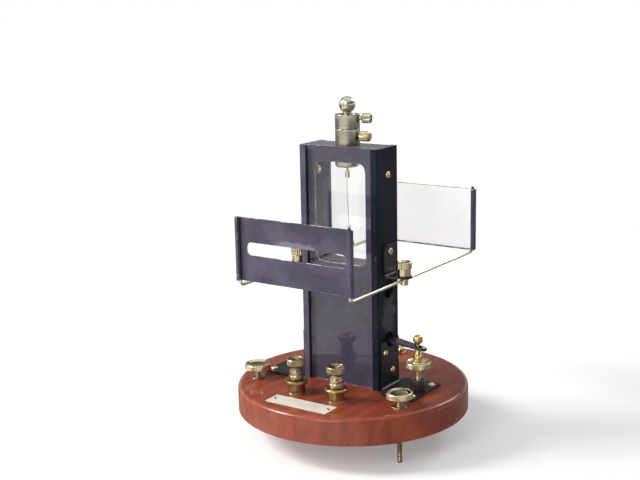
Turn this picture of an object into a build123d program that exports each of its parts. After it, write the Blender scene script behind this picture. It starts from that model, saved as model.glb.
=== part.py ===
from build123d import *
import math
import os

# Suspended-coil galvanometer on a levelling base, in millimetres, +Z up.
# The origin is the centre of the base board's underside. +X runs along the tower's front,
# +Y away from the front, so the front holder and the terminals lie on the -Y side.

# Driving dimensions: base board and its feet
base_diameter = 160.0
base_thickness = 18.8
base_top_round = 4.0
base_bottom_round = 1.0
foot_clearance = 19.5
level_inset = 13.5
level_angle = 30.0
level_rod_radius = 1.8
level_rod_sunk = 1.5
level_rod_tip = 0.5
level_head_radius = 8.75
level_head_thickness = 4.0
level_head_lift = 6.5
level_hub_radius = 3.4
level_hub_flare = 1.0
level_hub_drop = 1.2
bush_radius = 3.6
bush_recess = 0.5
bush_flange_radius = 4.9
bush_flange_thickness = 0.8
back_stud_radius = 2.0
back_stud_above = 2.2
back_foot_radius = 6.0
sole_inset = 1.6
sole_bevel = 0.6
foot_waist_inset = 2.8
foot_waist_low = 6.0
foot_waist_high = 4.0
foot_flange = 1.5
back_nut_radius = 3.8
back_nut_raise = 1.0
back_nut_trim = 0.2

# Driving dimensions: tower
tower_width = 61.4
tower_depth = 26.4
tower_height = 163.9
tower_y = -1.9
channel_wall = 1.5
channel_lip = 5.0
channel_bend = 1.2
glass_thickness = 1.6
plate_thickness = 1.2
cover_gap = 0.25
cover_side_gap = 0.3
rail_width = 3.0
rail_depth = 1.5
window_half_width = 20.0
window_height = 69.0
window_top_margin = 10.4
window_corner = 5.0
top_plate_thickness = 1.6
ear_height = 24.0
ear_gap = 0.5
wall_centre_y = -1.5
side_hole_radius = 6.5
side_hole_rise = 68.7
lever_hole_radius = 5.2
lever_hole_drop = 0.33

# Driving dimensions: small screws through the side walls
screw_radius = 1.5
screw_head_radius = 2.4
screw_head_height = 1.5
head_round_share = 0.7
driver_slot_share = 0.5
driver_slot_width = 0.6
nut_flat_radius = 2.75
nut_thickness = 2.4
screw_tail = 1.2
upper_screw_drop = 18.1
bracket_screw_rise = 16.8
foot_screw_offsets = ((-6.7, 25.5), (2.3, 11.4))
slot_turn = 35.0
washer_radius = 4.3
washer_thickness = 1.2

# Driving dimensions: foot angles
angle_thickness = 1.5
angle_bend = 2.2
angle_foot_length = 29.5
angle_half_length = 19.2
angle_leg_half_width = 11.0
angle_corner = 4.0
wood_screw_inset = 3.7
wood_screw_offset = 13.4
wood_screw_radius = 1.2
wood_screw_length = 8.5
wood_screw_head_radius = 2.5
wood_screw_head_height = 1.7
wood_slot_turn = 50.0

# Driving dimensions: torsion head
collar_radius = 8.3
collar_edge = 0.3
socket_height = 11.1
collar_height = 9.4
collar_joint_gap = 0.1
collar_recess_radius = 6.6
collar_recess_depth = 0.8
socket_thread_radius = 5.0
socket_thread_length = 12.5
collar_spigot_radius = 3.95
collar_spigot_length = 9.2
stem_radius = 2.2
stem_neck_radius = 3.0
stem_foot_radius = 2.6
stem_below_nut = 0.6
stem_tail_radius = 0.9
stem_tail_grip = 1.5
ball_radius = 5.45
ball_lift = 0.65
lock_nut_clear = 0.2
lock_nut_height = 12.7
lock_nut_bevel = 0.8
clamp_shank_radius = 1.2
clamp_head_radius = 3.35
clamp_head_bevel = 0.4
clamp_slot_width = 0.8
clamp_slot_depth = 0.7
clamp_slot_turn = 40.0
upper_clamp_angle = 18.0
upper_clamp_start = 10.3
upper_clamp_length = 6.3
upper_clamp_drop = 2.7
lower_clamp_angle = 5.0
lower_clamp_start = 9.8
lower_clamp_length = 7.0
lower_clamp_rise = 6.1

# Driving dimensions: suspended system; heights are measured from the base top
strip_clamp_radius = 1.6
strip_clamp_height = 4.2
strip_clamp_drop = 21.9
strip_width = 0.8
strip_thickness = 0.3
strip_slack = 1.4
mirror_radius = 5.5
mirror_thickness = 1.2
mirror_height = 96.9
spindle_radius = 0.6
spindle_above_mirror = 1.5
coil_half_width = 8.2
coil_depth = 3.0
coil_bar = 2.0
coil_end_bar = 1.6
coil_corner = 1.2
coil_bottom = 54.2
coil_height = 28.0
core_radius = 5.4
core_bottom = 59.2
core_height = 18.5
pole_radius = 9.2
pole_inner_x = 5.0
pole_bottom = 57.2
pole_height = 22.5

# Driving dimensions: magnet and its carriers; heights are measured from the base top
magnet_bottom = 43.7
magnet_top = 81.2
magnet_side_gap = 2.2
magnet_face_gap = 1.9
magnet_leg = 12.0
magnet_bend = 7.5
magnet_corner = 6.0
pillar_radius = 2.5
pillar_spigot_radius = 1.5
pillar_spigot_length = 6.0
pillar_inset = 3.5
pillar_offset = 5.0
strap_inset = 7.0
strap_height = 8.0
strap_thickness = 1.2
core_post_radius = 1.5

# Driving dimensions: lifting screw, lever and arrest rod
lift_reach = 23.2
lift_y = -2.6
boss_radius = 5.05
boss_height = 7.7
boss_bevel = 0.5
boss_spigot_radius = 3.0
boss_spigot_length = 5.0
lift_rod_radius = 1.65
lift_rod_sunk = 8.8
lift_bore_below = 6.0
wheel_radius = 8.8
wheel_thickness = 4.0
wheel_height = 17.9
wheel_seat_width = 0.8
wheel_seat_drop = 0.1
bell_radius = 3.2
bell_height = 8.2
bell_profile = ((0.90, 0.0), (1.0, 0.15), (1.0, 0.42), (0.86, 0.66))
shoulder_radius = 2.1
shoulder_share = 0.86
neck_radius = 1.1
neck_length = 3.8
knob_radius = 3.3
knob_sink = 0.2
lever_thickness = 1.6
lever_tilt = 5.71
lever_half_width = 2.9
lever_tip_radius = 2.7
lever_tip_length = 6.4
lever_slot_length = 5.8
lever_slot_clearance = 0.35
lever_shoulder_gap = 0.8
lever_shoulder_near = 4.2
lever_shoulder_far = 5.4
tip_screw_radius = 1.2
tip_screw_height = 1.0
tip_screw_margin = 0.4
pivot_x = -18.0
pivot_drop = 1.4
pivot_pin_radius = 1.0
pivot_barrel_radius = 2.2
pivot_barrel_length = 4.6
cheek_thickness = 1.4
bearing_half_length = 3.0
bearing_below_pin = 2.6
bearing_bridge = 1.2
arrest_rod_radius = 1.2
arrest_pad_radius = 3.0
arrest_pad_thickness = 0.9
arrest_gap = 1.1

# Driving dimensions: carrier with the slotted holder in front and the card holder behind
tab_reach = 12.3
tab_rise = 77.6
rod_radius = 1.0
rod_bend = 3.0
rod_end_rise = 48.8
rod_rear_shorter = 1.0
bracket_thickness = 1.5
bracket_bend = 2.2
bracket_leg_height = 22.0
bracket_leg_corner = 3.0
bracket_half_width = 7.2
bracket_tip_radius = 5.2
clamp_stud_radius = 2.6
clamp_stud_length = 4.7
clamp_stud_bevel = 0.4
clamp_thread_radius = 1.5
clamp_thread_sunk = 1.6
clamp_nut_radius = 5.0
clamp_nut_lower_radius = 4.4
clamp_nut_height = 9.6
clamp_nut_step = 4.6
clamp_nut_lift = 0.1
grip_flutes = 22
grip_flute_radius = 0.5
grip_flute_depth = 0.25
holder_overhang = 2.5
holder_sheet = 0.8
holder_bend = 1.3
holder_lip = 2.6
holder_top_rise = 45.8
front_holder_rise = 3.2
front_holder_y = -69.3
rear_holder_rise = 1.4
rear_holder_y = 92.7
slot_left_margin = 7.9
slot_right_margin = 5.5
slot_half_height = 4.3
slot_above_middle = 0.7
card_thickness = 0.8
card_side_gap = 0.8
card_front_gap = 0.1
card_back_gap = 0.2
card_above = 0.2

# Driving dimensions: terminals and nameplate
terminal_x = 16.1
terminal_inset = 35.3
terminal_column_radius = 5.9
terminal_column_height = 7.0
terminal_ring_radius = 7.75
terminal_ring_height = 2.5
terminal_ring_bevel = 0.5
terminal_stud_radius = 1.8
terminal_stud_sunk = 1.6
terminal_root_length = 12.0
terminal_nut_lift = 0.2
terminal_waist_radius = 4.6
terminal_waist_height = 10.0
terminal_waist_profile = ((0.95, 0.0), (1.06, 0.12), (1.06, 0.45), (0.90, 0.66), (0.82, 0.80), (0.90, 0.94))
terminal_head_radius = 6.25
terminal_head_height = 4.6
plate_inset = 17.3
plate_half_length = 24.0
plate_half_height = 6.7
plate_corner = 0.6
nameplate_thickness = 0.6
nameplate_pin_inset = 2.7
nameplate_pin_radius = 0.6
nameplate_pin_length = 5.0
nameplate_pin_head = 1.2
nameplate_pin_head_height = 0.7
nameplate_pin_round = 0.5

# Rim and dished top that all knurled discs share
rim_break = 0.5
rim_land = 0.8
dish_slope = 1.0
dish_depth = 0.8

# Clearances, and how far a cutting tool runs past the face that it cuts
running = 0.05
seat = 0.05
contact_free = 0.3
stem_way = 0.4
bore_relief = 0.5
cut_over = 1.0

# Places worked out from the driving dimensions
base_radius = base_diameter / 2
base_top = base_thickness
level_circle_radius = base_radius - level_inset
terminal_y = terminal_inset - base_radius
plate_y = plate_inset - base_radius
nameplate_pin_x = plate_half_length - nameplate_pin_inset
tower_half = tower_width / 2
inner_half = tower_half - channel_wall
tower_front = tower_y - tower_depth / 2
tower_back = tower_y + tower_depth / 2
tower_top = base_top + tower_height
glass_front = tower_front + channel_wall + cover_gap
plate_front = glass_front + glass_thickness
plate_back = plate_front + plate_thickness
rail_front = plate_back + cover_gap
chamber_half = tower_y - rail_front
ear_half_width = chamber_half - rail_depth - abs(wall_centre_y - tower_y) - ear_gap
window_top = tower_top - window_top_margin
window_bottom = window_top - window_height
upper_screw_height = tower_top - upper_screw_drop
side_hole_height = base_top + side_hole_rise
socket_top = tower_top + socket_height
collar_bottom = socket_top + collar_joint_gap
collar_top = collar_bottom + collar_height
ball_centre = collar_top + ball_lift + ball_radius
under_top = tower_top - top_plate_thickness
lock_nut_bottom = under_top - lock_nut_height
lock_nut_radius = chamber_half - lock_nut_clear
strip_top = tower_top - strip_clamp_drop
spindle_top = base_top + mirror_height + mirror_radius + spindle_above_mirror
coil_top = base_top + coil_bottom + coil_height
angle_top = base_top + angle_thickness
angle_reach = tower_half + angle_foot_length
wood_screw_x = angle_reach - wood_screw_inset
lift_x = tower_half + lift_reach
wheel_top = base_top + wheel_height + wheel_thickness
bell_top = wheel_top + bell_height
lever_slope = math.tan(math.radians(lever_tilt))
lever_cosine = math.cos(math.radians(lever_tilt))
lever_half = lever_thickness / 2 / lever_cosine
lever_z = bell_top + contact_free + lever_half + lever_slope * shoulder_radius
lever_length = (lift_x - pivot_x - pivot_drop * math.sin(math.radians(lever_tilt))) / lever_cosine
lever_hole_height = lever_z + lever_slope * (lift_x - tower_half) - lever_hole_drop
magnet_low = base_top + magnet_bottom
magnet_high = base_top + magnet_top
magnet_half_width = inner_half - magnet_side_gap
magnet_depth = 2 * (chamber_half - magnet_face_gap)
pillar_x = magnet_half_width - pillar_inset
strap_half_width = magnet_half_width - strap_inset
tab_bottom = base_top + tab_rise
tab_top = tab_bottom + bracket_thickness
bracket_screw_height = tab_bottom + bracket_screw_rise
rod_x = tower_half + tab_reach
rod_z = tab_bottom - rod_radius - contact_free
rod_end = rod_z + rod_end_rise
holder_half_width = rod_x + holder_overhang
holder_top = rod_z + holder_top_rise
front_holder_bottom = rod_z + front_holder_rise
rear_holder_bottom = rod_z + rear_holder_rise
slot_half_length = holder_half_width - (slot_left_margin + slot_right_margin) / 2
slot_centre_x = (slot_left_margin - slot_right_margin) / 2
slot_centre_height = (front_holder_bottom + holder_top) / 2 + slot_above_middle
card_half_width = holder_half_width - holder_sheet - card_side_gap
wire_front_y = front_holder_y + holder_sheet + rod_radius + seat
card_front_y = rear_holder_y + holder_sheet + card_front_gap
wire_rear_y = card_front_y + card_thickness + card_back_gap + rod_radius


def block(x0, x1, y0, y1, z0, z1):
    """Square-edged bar between two corners."""
    middle = Pos((x0 + x1) / 2, (y0 + y1) / 2, (z0 + z1) / 2)
    return middle * Box(abs(x1 - x0), abs(y1 - y0), abs(z1 - z0))


def upright(x, y, z0, z1, radius):
    """Round bar standing on x, y from z0 to z1."""
    return Pos(x, y, (z0 + z1) / 2) * Cylinder(radius, abs(z1 - z0))


def along_x(x0, x1, y, z, radius):
    """Round bar lying along X."""
    return Pos((x0 + x1) / 2, y, z) * Rot(0, 90, 0) * Cylinder(radius, abs(x1 - x0))


def along_y(x, y0, y1, z, radius):
    """Round bar lying along Y."""
    return Pos(x, (y0 + y1) / 2, z) * Rot(90, 0, 0) * Cylinder(radius, abs(y1 - y0))


def turned(x, y, outline):
    """Turned piece about the upright line through x, y; outline lists radius, height corners."""
    face = make_face(Plane.XZ * Polyline(*outline, close=True))
    return Pos(x, y, 0) * revolve(face, Axis.Z)


def disc_rim(radius, low, high):
    """Corners of a knurled disc: underside, broken rim, flat land and the slope into its dish."""
    land = radius - rim_break - rim_land
    return [
        (radius - rim_break, low),
        (radius, low + rim_break),
        (radius, high - rim_break),
        (radius - rim_break, high),
        (land, high),
        (land - dish_slope, high - dish_depth),
    ]


def bent_angle(wall, reach, low, top, thickness, bend):
    """Upright face, in the XZ plane, of a sheet bent once between a wall and a floor.

    The sheet lies against the wall from low to top and on the floor out to reach. The bend is
    rounded on the side away from the corner that it fills.
    """
    corners = [
        (wall, low),
        (reach, low),
        (reach, low + thickness),
        (wall + thickness, low + thickness),
        (wall + thickness, top),
        (wall, top),
    ]
    section = make_face(Plane.XZ * Polyline(*corners, close=True))
    inside = section.vertices().sort_by_distance((wall + thickness, 0, low + thickness))[0]
    return fillet(inside, bend - thickness)


def level_places():
    """Centres of the two front levelling screws and, last, of the fixed back foot."""
    reach = level_circle_radius * math.cos(math.radians(level_angle))
    forward = -level_circle_radius * math.sin(math.radians(level_angle))
    return (-reach, forward), (reach, forward), (0.0, level_circle_radius)


def pillar_places():
    """Magnet pillars: two on the left and one at the back right, clear of the lever."""
    front = tower_y - pillar_offset
    back = tower_y + pillar_offset
    return (-pillar_x, front), (-pillar_x, back), (pillar_x, back)


def foot_screw_places():
    """Screws of one foot angle through the side wall: y and z."""
    return [(tower_y + along, base_top + rise) for along, rise in foot_screw_offsets]


def wood_screw_places():
    """Outer corners of the two foot angles."""
    return [
        (side * wood_screw_x, tower_y + offset)
        for side in (-1, 1)
        for offset in (-wood_screw_offset, wood_screw_offset)
    ]


def nutted_screw_places():
    """Screws of one side with nuts: y, z, thickness outside the wall, thickness inside it."""
    upper = (wall_centre_y, upper_screw_height, 0.0, top_plate_thickness + washer_thickness)
    return upper, (wall_centre_y, bracket_screw_height, bracket_thickness, 0.0)


def wall_screw_places():
    """Centres of every screw through one side wall."""
    return [(y, z) for y, z, _, _ in nutted_screw_places()] + foot_screw_places()


def make_base_board():
    """Turned mahogany disc with a rounded top edge, bored for every screw that enters it."""
    board = upright(0, 0, 0, base_top, base_radius)
    board = fillet(board.edges().group_by(Axis.Z)[-1], base_top_round)
    board = fillet(board.edges().group_by(Axis.Z)[0], base_bottom_round)
    left, right, back = level_places()
    above = base_top + cut_over
    bores = [
        (left, -cut_over, bush_radius),
        (right, -cut_over, bush_radius),
        (back, -cut_over, back_stud_radius),
        ((lift_x, lift_y), angle_top - boss_spigot_length - bore_relief, boss_spigot_radius),
    ]
    for place in wood_screw_places():
        bores.append((place, base_top - wood_screw_length - bore_relief, wood_screw_radius))
    for place in pillar_places():
        bores.append((place, base_top - pillar_spigot_length - bore_relief, pillar_spigot_radius))
    for side in (-1, 1):
        terminal = (side * terminal_x, terminal_y)
        pin = (side * nameplate_pin_x, plate_y)
        bores.append((terminal, base_top - terminal_root_length - bore_relief, terminal_stud_radius))
        bores.append((pin, base_top - nameplate_pin_length - bore_relief, nameplate_pin_radius))
    for (x, y), floor, radius in bores:
        board -= upright(x, y, floor, above, radius + seat)
    rod_floor = base_top - lift_rod_sunk - lift_bore_below
    return board - upright(lift_x, lift_y, rod_floor, above, lift_rod_radius + contact_free)


def make_level_bushes():
    """Flanged brass bushes that guide the two levelling screws."""
    bushes = []
    bore = level_rod_radius + running
    flange = base_top + bush_flange_thickness
    outline = [
        (bore, bush_recess),
        (bush_radius, bush_recess),
        (bush_radius, base_top),
        (bush_flange_radius, base_top),
        (bush_flange_radius, flange),
        (bore, flange),
    ]
    for x, y in level_places()[:2]:
        bushes.append(turned(x, y, outline))
    return bushes


def make_level_rod(x, y):
    """Threaded levelling rod with a bevelled tip on the table."""
    top = base_top + level_head_lift + level_head_thickness - level_rod_sunk
    rod = upright(x, y, -foot_clearance, top, level_rod_radius)
    return chamfer(rod.edges().group_by(Axis.Z)[0], level_rod_tip)


def make_level_head(x, y):
    """Thumb disc with a dished top on a short hub, pressed on the rod."""
    low = base_top + level_head_lift
    high = low + level_head_thickness
    bore = level_rod_radius + running
    rod_top = high - level_rod_sunk + seat
    outline = [
        (bore, low - level_hub_drop),
        (level_hub_radius, low - level_hub_drop),
        (level_hub_radius + level_hub_flare, low),
        *disc_rim(level_head_radius, low, high),
        (0.0, high - dish_depth),
        (0.0, rod_top),
        (bore, rod_top),
    ]
    return turned(x, y, outline)


def make_back_foot():
    """Fixed turned foot at the back, with its stud through the board."""
    x, y = level_places()[2]
    sole = back_foot_radius - sole_inset
    waist = back_foot_radius - foot_waist_inset
    outline = [
        (0.0, -foot_clearance),
        (sole, -foot_clearance),
        (sole + sole_bevel, -foot_clearance + sole_bevel),
        (waist, -foot_clearance + foot_waist_low),
        (waist, -foot_waist_high),
        (back_foot_radius, -foot_flange),
        (back_foot_radius, 0.0),
        (back_stud_radius, 0.0),
        (back_stud_radius, base_top + back_stud_above),
        (0.0, base_top + back_stud_above),
    ]
    return turned(x, y, outline)


def make_back_foot_nut():
    """Domed nut that holds the back foot."""
    x, y = level_places()[2]
    dome = Pos(x, y, base_top + back_nut_raise) * Sphere(back_nut_radius)
    nut = dome & upright(x, y, base_top, base_top + 2 * back_nut_radius, back_nut_radius - back_nut_trim)
    floor = base_top + back_stud_above + seat
    return nut - upright(x, y, base_top - cut_over, floor, back_stud_radius + seat)


def make_side_channel(side):
    """Folded sheet upright: a web with a narrow lip in front and behind."""
    lip_edge = tower_half - channel_lip
    corners = [
        (lip_edge, tower_front),
        (tower_half, tower_front),
        (tower_half, tower_back),
        (lip_edge, tower_back),
        (lip_edge, tower_back - channel_wall),
        (inner_half, tower_back - channel_wall),
        (inner_half, tower_front + channel_wall),
        (lip_edge, tower_front + channel_wall),
    ]
    section = make_face(Polyline(*corners, close=True))
    channel = Pos(0, 0, base_top) * extrude(section, tower_height)
    channel = fillet(channel.edges().filter_by(Axis.Z).group_by(Axis.X)[-1], channel_bend)
    start = inner_half - cut_over
    end = tower_half + cut_over
    for y, z in wall_screw_places():
        channel -= along_x(start, end, y, z, screw_radius + seat)
    channel -= along_x(start, end, wall_centre_y, side_hole_height, side_hole_radius)
    if side > 0:
        return channel - along_x(start, end, wall_centre_y, lever_hole_height, lever_hole_radius)
    return mirror(channel, about=Plane.YZ)


def make_cover_rails():
    """Four square strips inside the uprights that keep the covers against the lips."""
    rails = []
    for side in (-1, 1):
        for front in (True, False):
            y = rail_front if front else 2 * tower_y - rail_front - rail_depth
            inner = side * (inner_half - rail_width)
            rails.append(block(inner, side * inner_half, y, y + rail_depth, base_top, under_top))
    return rails


def cover_plate(y0, y1):
    """Black sheet with the rounded window."""
    half = inner_half - cover_side_gap
    sheet = block(-half, half, y0, y1, base_top + cover_gap, tower_top)
    middle = (window_bottom + window_top) / 2
    opening = Box(2 * window_half_width, plate_thickness + 2 * cut_over, window_height)
    opening = fillet(opening.edges().filter_by(Axis.Y), window_corner)
    return sheet - Pos(0, (y0 + y1) / 2, middle) * opening


def cover_glass(y0, y1):
    """Full-height pane in the groove."""
    half = inner_half - cover_side_gap
    return block(-half, half, y0, y1, base_top + cover_gap, tower_top)


def make_top_plate():
    """Top of the tower, with an ear folded down inside each wall."""
    back = 2 * tower_y - rail_front
    plate = block(-inner_half, inner_half, rail_front, back, under_top, tower_top)
    low = tower_top - ear_height
    y0 = wall_centre_y - ear_half_width
    y1 = wall_centre_y + ear_half_width
    for side in (-1, 1):
        inner = side * (inner_half - top_plate_thickness)
        plate += block(inner, side * inner_half, y0, y1, low, tower_top)
        plate -= along_x(inner - side * cut_over, side * (inner_half + cut_over), wall_centre_y,
                         upper_screw_height, screw_radius + seat)
    way = upright(0, tower_y, under_top - cut_over, tower_top + cut_over, socket_thread_radius + seat)
    return plate - way


def slotted_head(radius, height):
    """Round screw head on the XY plane, domed and cut with a driver slot."""
    upward = (Align.CENTER, Align.CENTER, Align.MIN)
    head = Cylinder(radius, height, align=upward)
    head = fillet(head.edges().group_by(Axis.Z)[-1], height * head_round_share)
    slot = Box(2 * (radius + cut_over), driver_slot_width, height, align=upward)
    return head - Pos(0, 0, height * driver_slot_share) * slot


def side_screw(side, y, z, outside, inner_end):
    """Brass screw along X with its head outside."""
    face = side * (tower_half + outside)
    turn = Rot(0, 90 * side, 0) * Rot(0, 0, slot_turn)
    head = Pos(face, y, z) * turn * slotted_head(screw_head_radius, screw_head_height)
    return along_x(side * inner_end, face, y, z, screw_radius) + head


def make_wall_screws():
    """Brass screws through the side walls; the ones at the foot angles are tapped into the wall."""
    screws = []
    for side in (-1, 1):
        for y, z, outside, inside in nutted_screw_places():
            tail = inner_half - inside - nut_thickness - screw_tail
            screws.append(side_screw(side, y, z, outside, tail))
        for y, z in foot_screw_places():
            screws.append(side_screw(side, y, z, angle_thickness, inner_half))
    return screws


def make_wall_nuts():
    """Hexagon nuts on the inner ends of the upper side-wall screws."""
    nuts = []
    hexagon = RegularPolygon(nut_flat_radius, 6, major_radius=False) - Circle(screw_radius + seat)
    nut = extrude(hexagon, nut_thickness)
    for side in (-1, 1):
        for y, z, _, inside in nutted_screw_places():
            nuts.append(Pos(side * (inner_half - inside), y, z) * Rot(0, -90 * side, 0) * nut)
    return nuts


def make_ear_washers():
    """Round washers between the ears and their nuts."""
    washers = []
    for side in (-1, 1):
        face = inner_half - top_plate_thickness
        washer = along_x(side * face, side * (face - washer_thickness), wall_centre_y,
                         upper_screw_height, washer_radius)
        hole = along_x(side * (face + cut_over), side * (face - washer_thickness - cut_over), wall_centre_y,
                       upper_screw_height, screw_radius + seat)
        washers.append(washer - hole)
    return washers


def make_foot_angle(side):
    """Black angle that fastens one side wall to the base board: a sheet bent once and trimmed."""
    bent = bent_angle(tower_half, angle_reach, base_top, lever_hole_height, angle_thickness, angle_bend)
    y0 = tower_y - angle_half_length
    y1 = tower_y + angle_half_length
    angle = Pos(0, y1, 0) * extrude(bent, y1 - y0)
    leg_x = tower_half + angle_thickness
    trim_x = leg_x + angle_corner
    for y, away in ((y0, tower_y - angle_leg_half_width), (y1, tower_y + angle_leg_half_width)):
        angle -= block(tower_half - cut_over, leg_x, y, away, base_top - cut_over,
                       lever_hole_height + cut_over)
        toe = make_face(Polyline((leg_x, y), (trim_x, y), (leg_x, (y + away) / 2), close=True))
        angle -= Pos(0, 0, base_top - cut_over) * extrude(toe, lever_hole_height)
    angle -= along_x(tower_half - cut_over, trim_x, wall_centre_y, lever_hole_height, lever_hole_radius)
    for y, z in foot_screw_places():
        angle -= along_x(tower_half - cut_over, leg_x + cut_over, y, z, screw_radius + seat)
    for offset in (-wood_screw_offset, wood_screw_offset):
        angle -= upright(wood_screw_x, tower_y + offset, base_top - cut_over, angle_top + cut_over,
                         wood_screw_radius + seat)
    if side > 0:
        way = upright(lift_x, lift_y, base_top - cut_over, angle_top + cut_over, boss_spigot_radius + seat)
        return angle - way
    return mirror(angle, about=Plane.YZ)


def make_wood_screws():
    """Round-head screws that hold the foot angles down."""
    screws = []
    head = Rot(0, 0, wood_slot_turn) * slotted_head(wood_screw_head_radius, wood_screw_head_height)
    for x, y in wood_screw_places():
        shank = upright(x, y, base_top - wood_screw_length, angle_top, wood_screw_radius)
        screws.append(shank + Pos(x, y, angle_top) * head)
    return screws


def make_torsion_socket():
    """Lower collar, threaded through the top plate and bored for the upper collar."""
    low = tower_top - socket_thread_length
    floor = collar_bottom - collar_spigot_length - contact_free
    outline = [
        (stem_radius + stem_way, low),
        (socket_thread_radius, low),
        (socket_thread_radius, tower_top),
        (collar_radius, tower_top),
        (collar_radius, socket_top - collar_edge),
        (collar_radius - collar_edge, socket_top),
        (collar_spigot_radius + running, socket_top),
        (collar_spigot_radius + running, floor),
        (stem_radius + stem_way, floor),
    ]
    socket = turned(0, tower_y, outline)
    return socket - clamp_bar(lower_clamp_angle, 0.0, collar_radius + cut_over,
                              tower_top + lower_clamp_rise, clamp_shank_radius + running)


def make_lock_nut():
    """Deep round nut under the top plate."""
    nut = upright(0, tower_y, lock_nut_bottom, under_top, lock_nut_radius)
    nut = chamfer(nut.edges().group_by(Axis.Z)[0], lock_nut_bevel)
    nut -= upright(0, tower_y, tower_top - socket_thread_length - contact_free, under_top + cut_over,
                   socket_thread_radius + seat)
    return nut - upright(0, tower_y, lock_nut_bottom - cut_over, under_top, stem_radius + stem_way)


def make_torsion_collar():
    """Upper collar, turning in the socket on its spigot, with a shallow recess on top."""
    recess = collar_top - collar_recess_depth
    outline = [
        (stem_radius + running, collar_bottom - collar_spigot_length),
        (collar_spigot_radius, collar_bottom - collar_spigot_length),
        (collar_spigot_radius, collar_bottom),
        (collar_radius - collar_edge, collar_bottom),
        (collar_radius, collar_bottom + collar_edge),
        (collar_radius, collar_top - collar_edge),
        (collar_radius - collar_edge, collar_top),
        (collar_recess_radius, collar_top),
        (collar_recess_radius, recess),
        (stem_radius + running, recess),
    ]
    collar = turned(0, tower_y, outline)
    return collar - clamp_bar(upper_clamp_angle, 0.0, collar_radius + cut_over,
                              collar_top - upper_clamp_drop, clamp_shank_radius + running)


def clamp_bar(angle, start, end, z, radius):
    """Round bar that points out from the torsion axis at an angle to +X."""
    return Pos(0, tower_y, z) * Rot(0, 0, angle) * along_x(start, end, 0, 0, radius)


def make_clamp_screw(angle, start, length, z, tip):
    """Thumb screw with a plain neck and a round head, slotted for a driver in its end."""
    end = start + length
    head = along_x(start, end, 0, 0, clamp_head_radius)
    head = chamfer(head.edges().filter_by(GeomType.CIRCLE), clamp_head_bevel)
    slot = Box(2 * clamp_slot_depth, clamp_slot_width, 2 * (clamp_head_radius + cut_over))
    head -= Pos(end, 0, 0) * Rot(clamp_slot_turn, 0, 0) * slot
    screw = along_x(tip, start, 0, 0, clamp_shank_radius) + head
    return Pos(0, tower_y, z) * Rot(0, 0, angle) * screw


def make_suspension_stem():
    """Stem that slides in the upper collar, with the ball that it is lifted and turned by."""
    grip = strip_top + strip_clamp_height - stem_tail_grip
    shoulder = lock_nut_bottom - stem_below_nut
    neck_foot = collar_top - collar_recess_depth + contact_free + cut_over
    outline = [
        (0.0, grip),
        (stem_tail_radius, grip),
        (stem_tail_radius, shoulder),
        (stem_radius, shoulder),
        (stem_radius, neck_foot),
        (stem_foot_radius, neck_foot),
        (stem_neck_radius, ball_centre - ball_radius / 2),
        (0.0, ball_centre - ball_radius / 2),
    ]
    return turned(0, tower_y, outline) + Pos(0, tower_y, ball_centre) * Sphere(ball_radius)


def make_strip_clamp():
    """Small split clamp on the stem's lower end."""
    high = strip_top + strip_clamp_height
    floor = high - stem_tail_grip - contact_free
    clamp = upright(0, tower_y, strip_top, high, strip_clamp_radius)
    return clamp - upright(0, tower_y, floor, high + cut_over, stem_tail_radius + seat)


def make_suspension_strip():
    """Flat suspension strip, hanging in a slack S between the clamp and the coil's spindle."""
    drop = strip_top - spindle_top
    bows = ((0.0, 0.0), (-strip_slack, 0.25), (0.0, 0.5), (strip_slack * 0.8, 0.75), (0.0, 1.0))
    edges = []
    for offset_x in (-strip_thickness / 2, strip_thickness / 2):
        edges.append(Spline(*[(x + offset_x, 0.0, strip_top - drop * share) for x, share in bows]))
    left, right = edges
    band = make_face([left, right, Line(left @ 0, right @ 0), Line(left @ 1, right @ 1)])
    return Pos(0, tower_y, 0) * extrude(band, strip_width / 2, both=True)


def make_coil_spindle():
    """Thin spindle that joins the coil, the mirror and the strip."""
    return upright(0, tower_y, coil_top, spindle_top, spindle_radius)


def make_mirror():
    """Round mirror in front of the spindle."""
    back = tower_y - spindle_radius
    return along_y(0, back - mirror_thickness, back, base_top + mirror_height, mirror_radius)


def make_coil():
    """Rectangular coil that stands round the core."""
    low = base_top + coil_bottom
    y0 = tower_y - coil_depth / 2
    y1 = tower_y + coil_depth / 2
    outer = block(-coil_half_width, coil_half_width, y0, y1, low, coil_top)
    outer = fillet(outer.edges().filter_by(Axis.Y), coil_corner)
    inner_x = coil_half_width - coil_bar
    return outer - block(-inner_x, inner_x, y0 - cut_over, y1 + cut_over, low + coil_end_bar,
                         coil_top - coil_end_bar)


def make_magnet():
    """Upright horseshoe magnet, bored through its bend for the arrest rod."""
    y0 = tower_y - magnet_depth / 2
    y1 = tower_y + magnet_depth / 2
    body = block(-magnet_half_width, magnet_half_width, y0, y1, magnet_low, magnet_high)
    body = fillet(body.edges().filter_by(Axis.Y).group_by(Axis.Z)[0], magnet_corner)
    gap = magnet_half_width - magnet_leg
    body -= block(-gap, gap, y0 - cut_over, y1 + cut_over, magnet_low + magnet_bend, magnet_high + cut_over)
    return body - upright(0, tower_y, magnet_low - cut_over, magnet_high, arrest_rod_radius + running)


def make_pole_pieces():
    """Soft-iron pieces with hollow faces round the coil."""
    low = base_top + pole_bottom
    high = low + pole_height
    gap = magnet_half_width - magnet_leg
    bore = upright(0, tower_y, low - cut_over, high + cut_over, pole_radius)
    y0 = tower_y - magnet_depth / 2
    y1 = tower_y + magnet_depth / 2
    return [block(side * pole_inner_x, side * gap, y0, y1, low, high) - bore for side in (-1, 1)]


def make_iron_core():
    """Fixed soft-iron core inside the coil."""
    low = base_top + core_bottom
    return upright(0, tower_y, low, low + core_height, core_radius)


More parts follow.
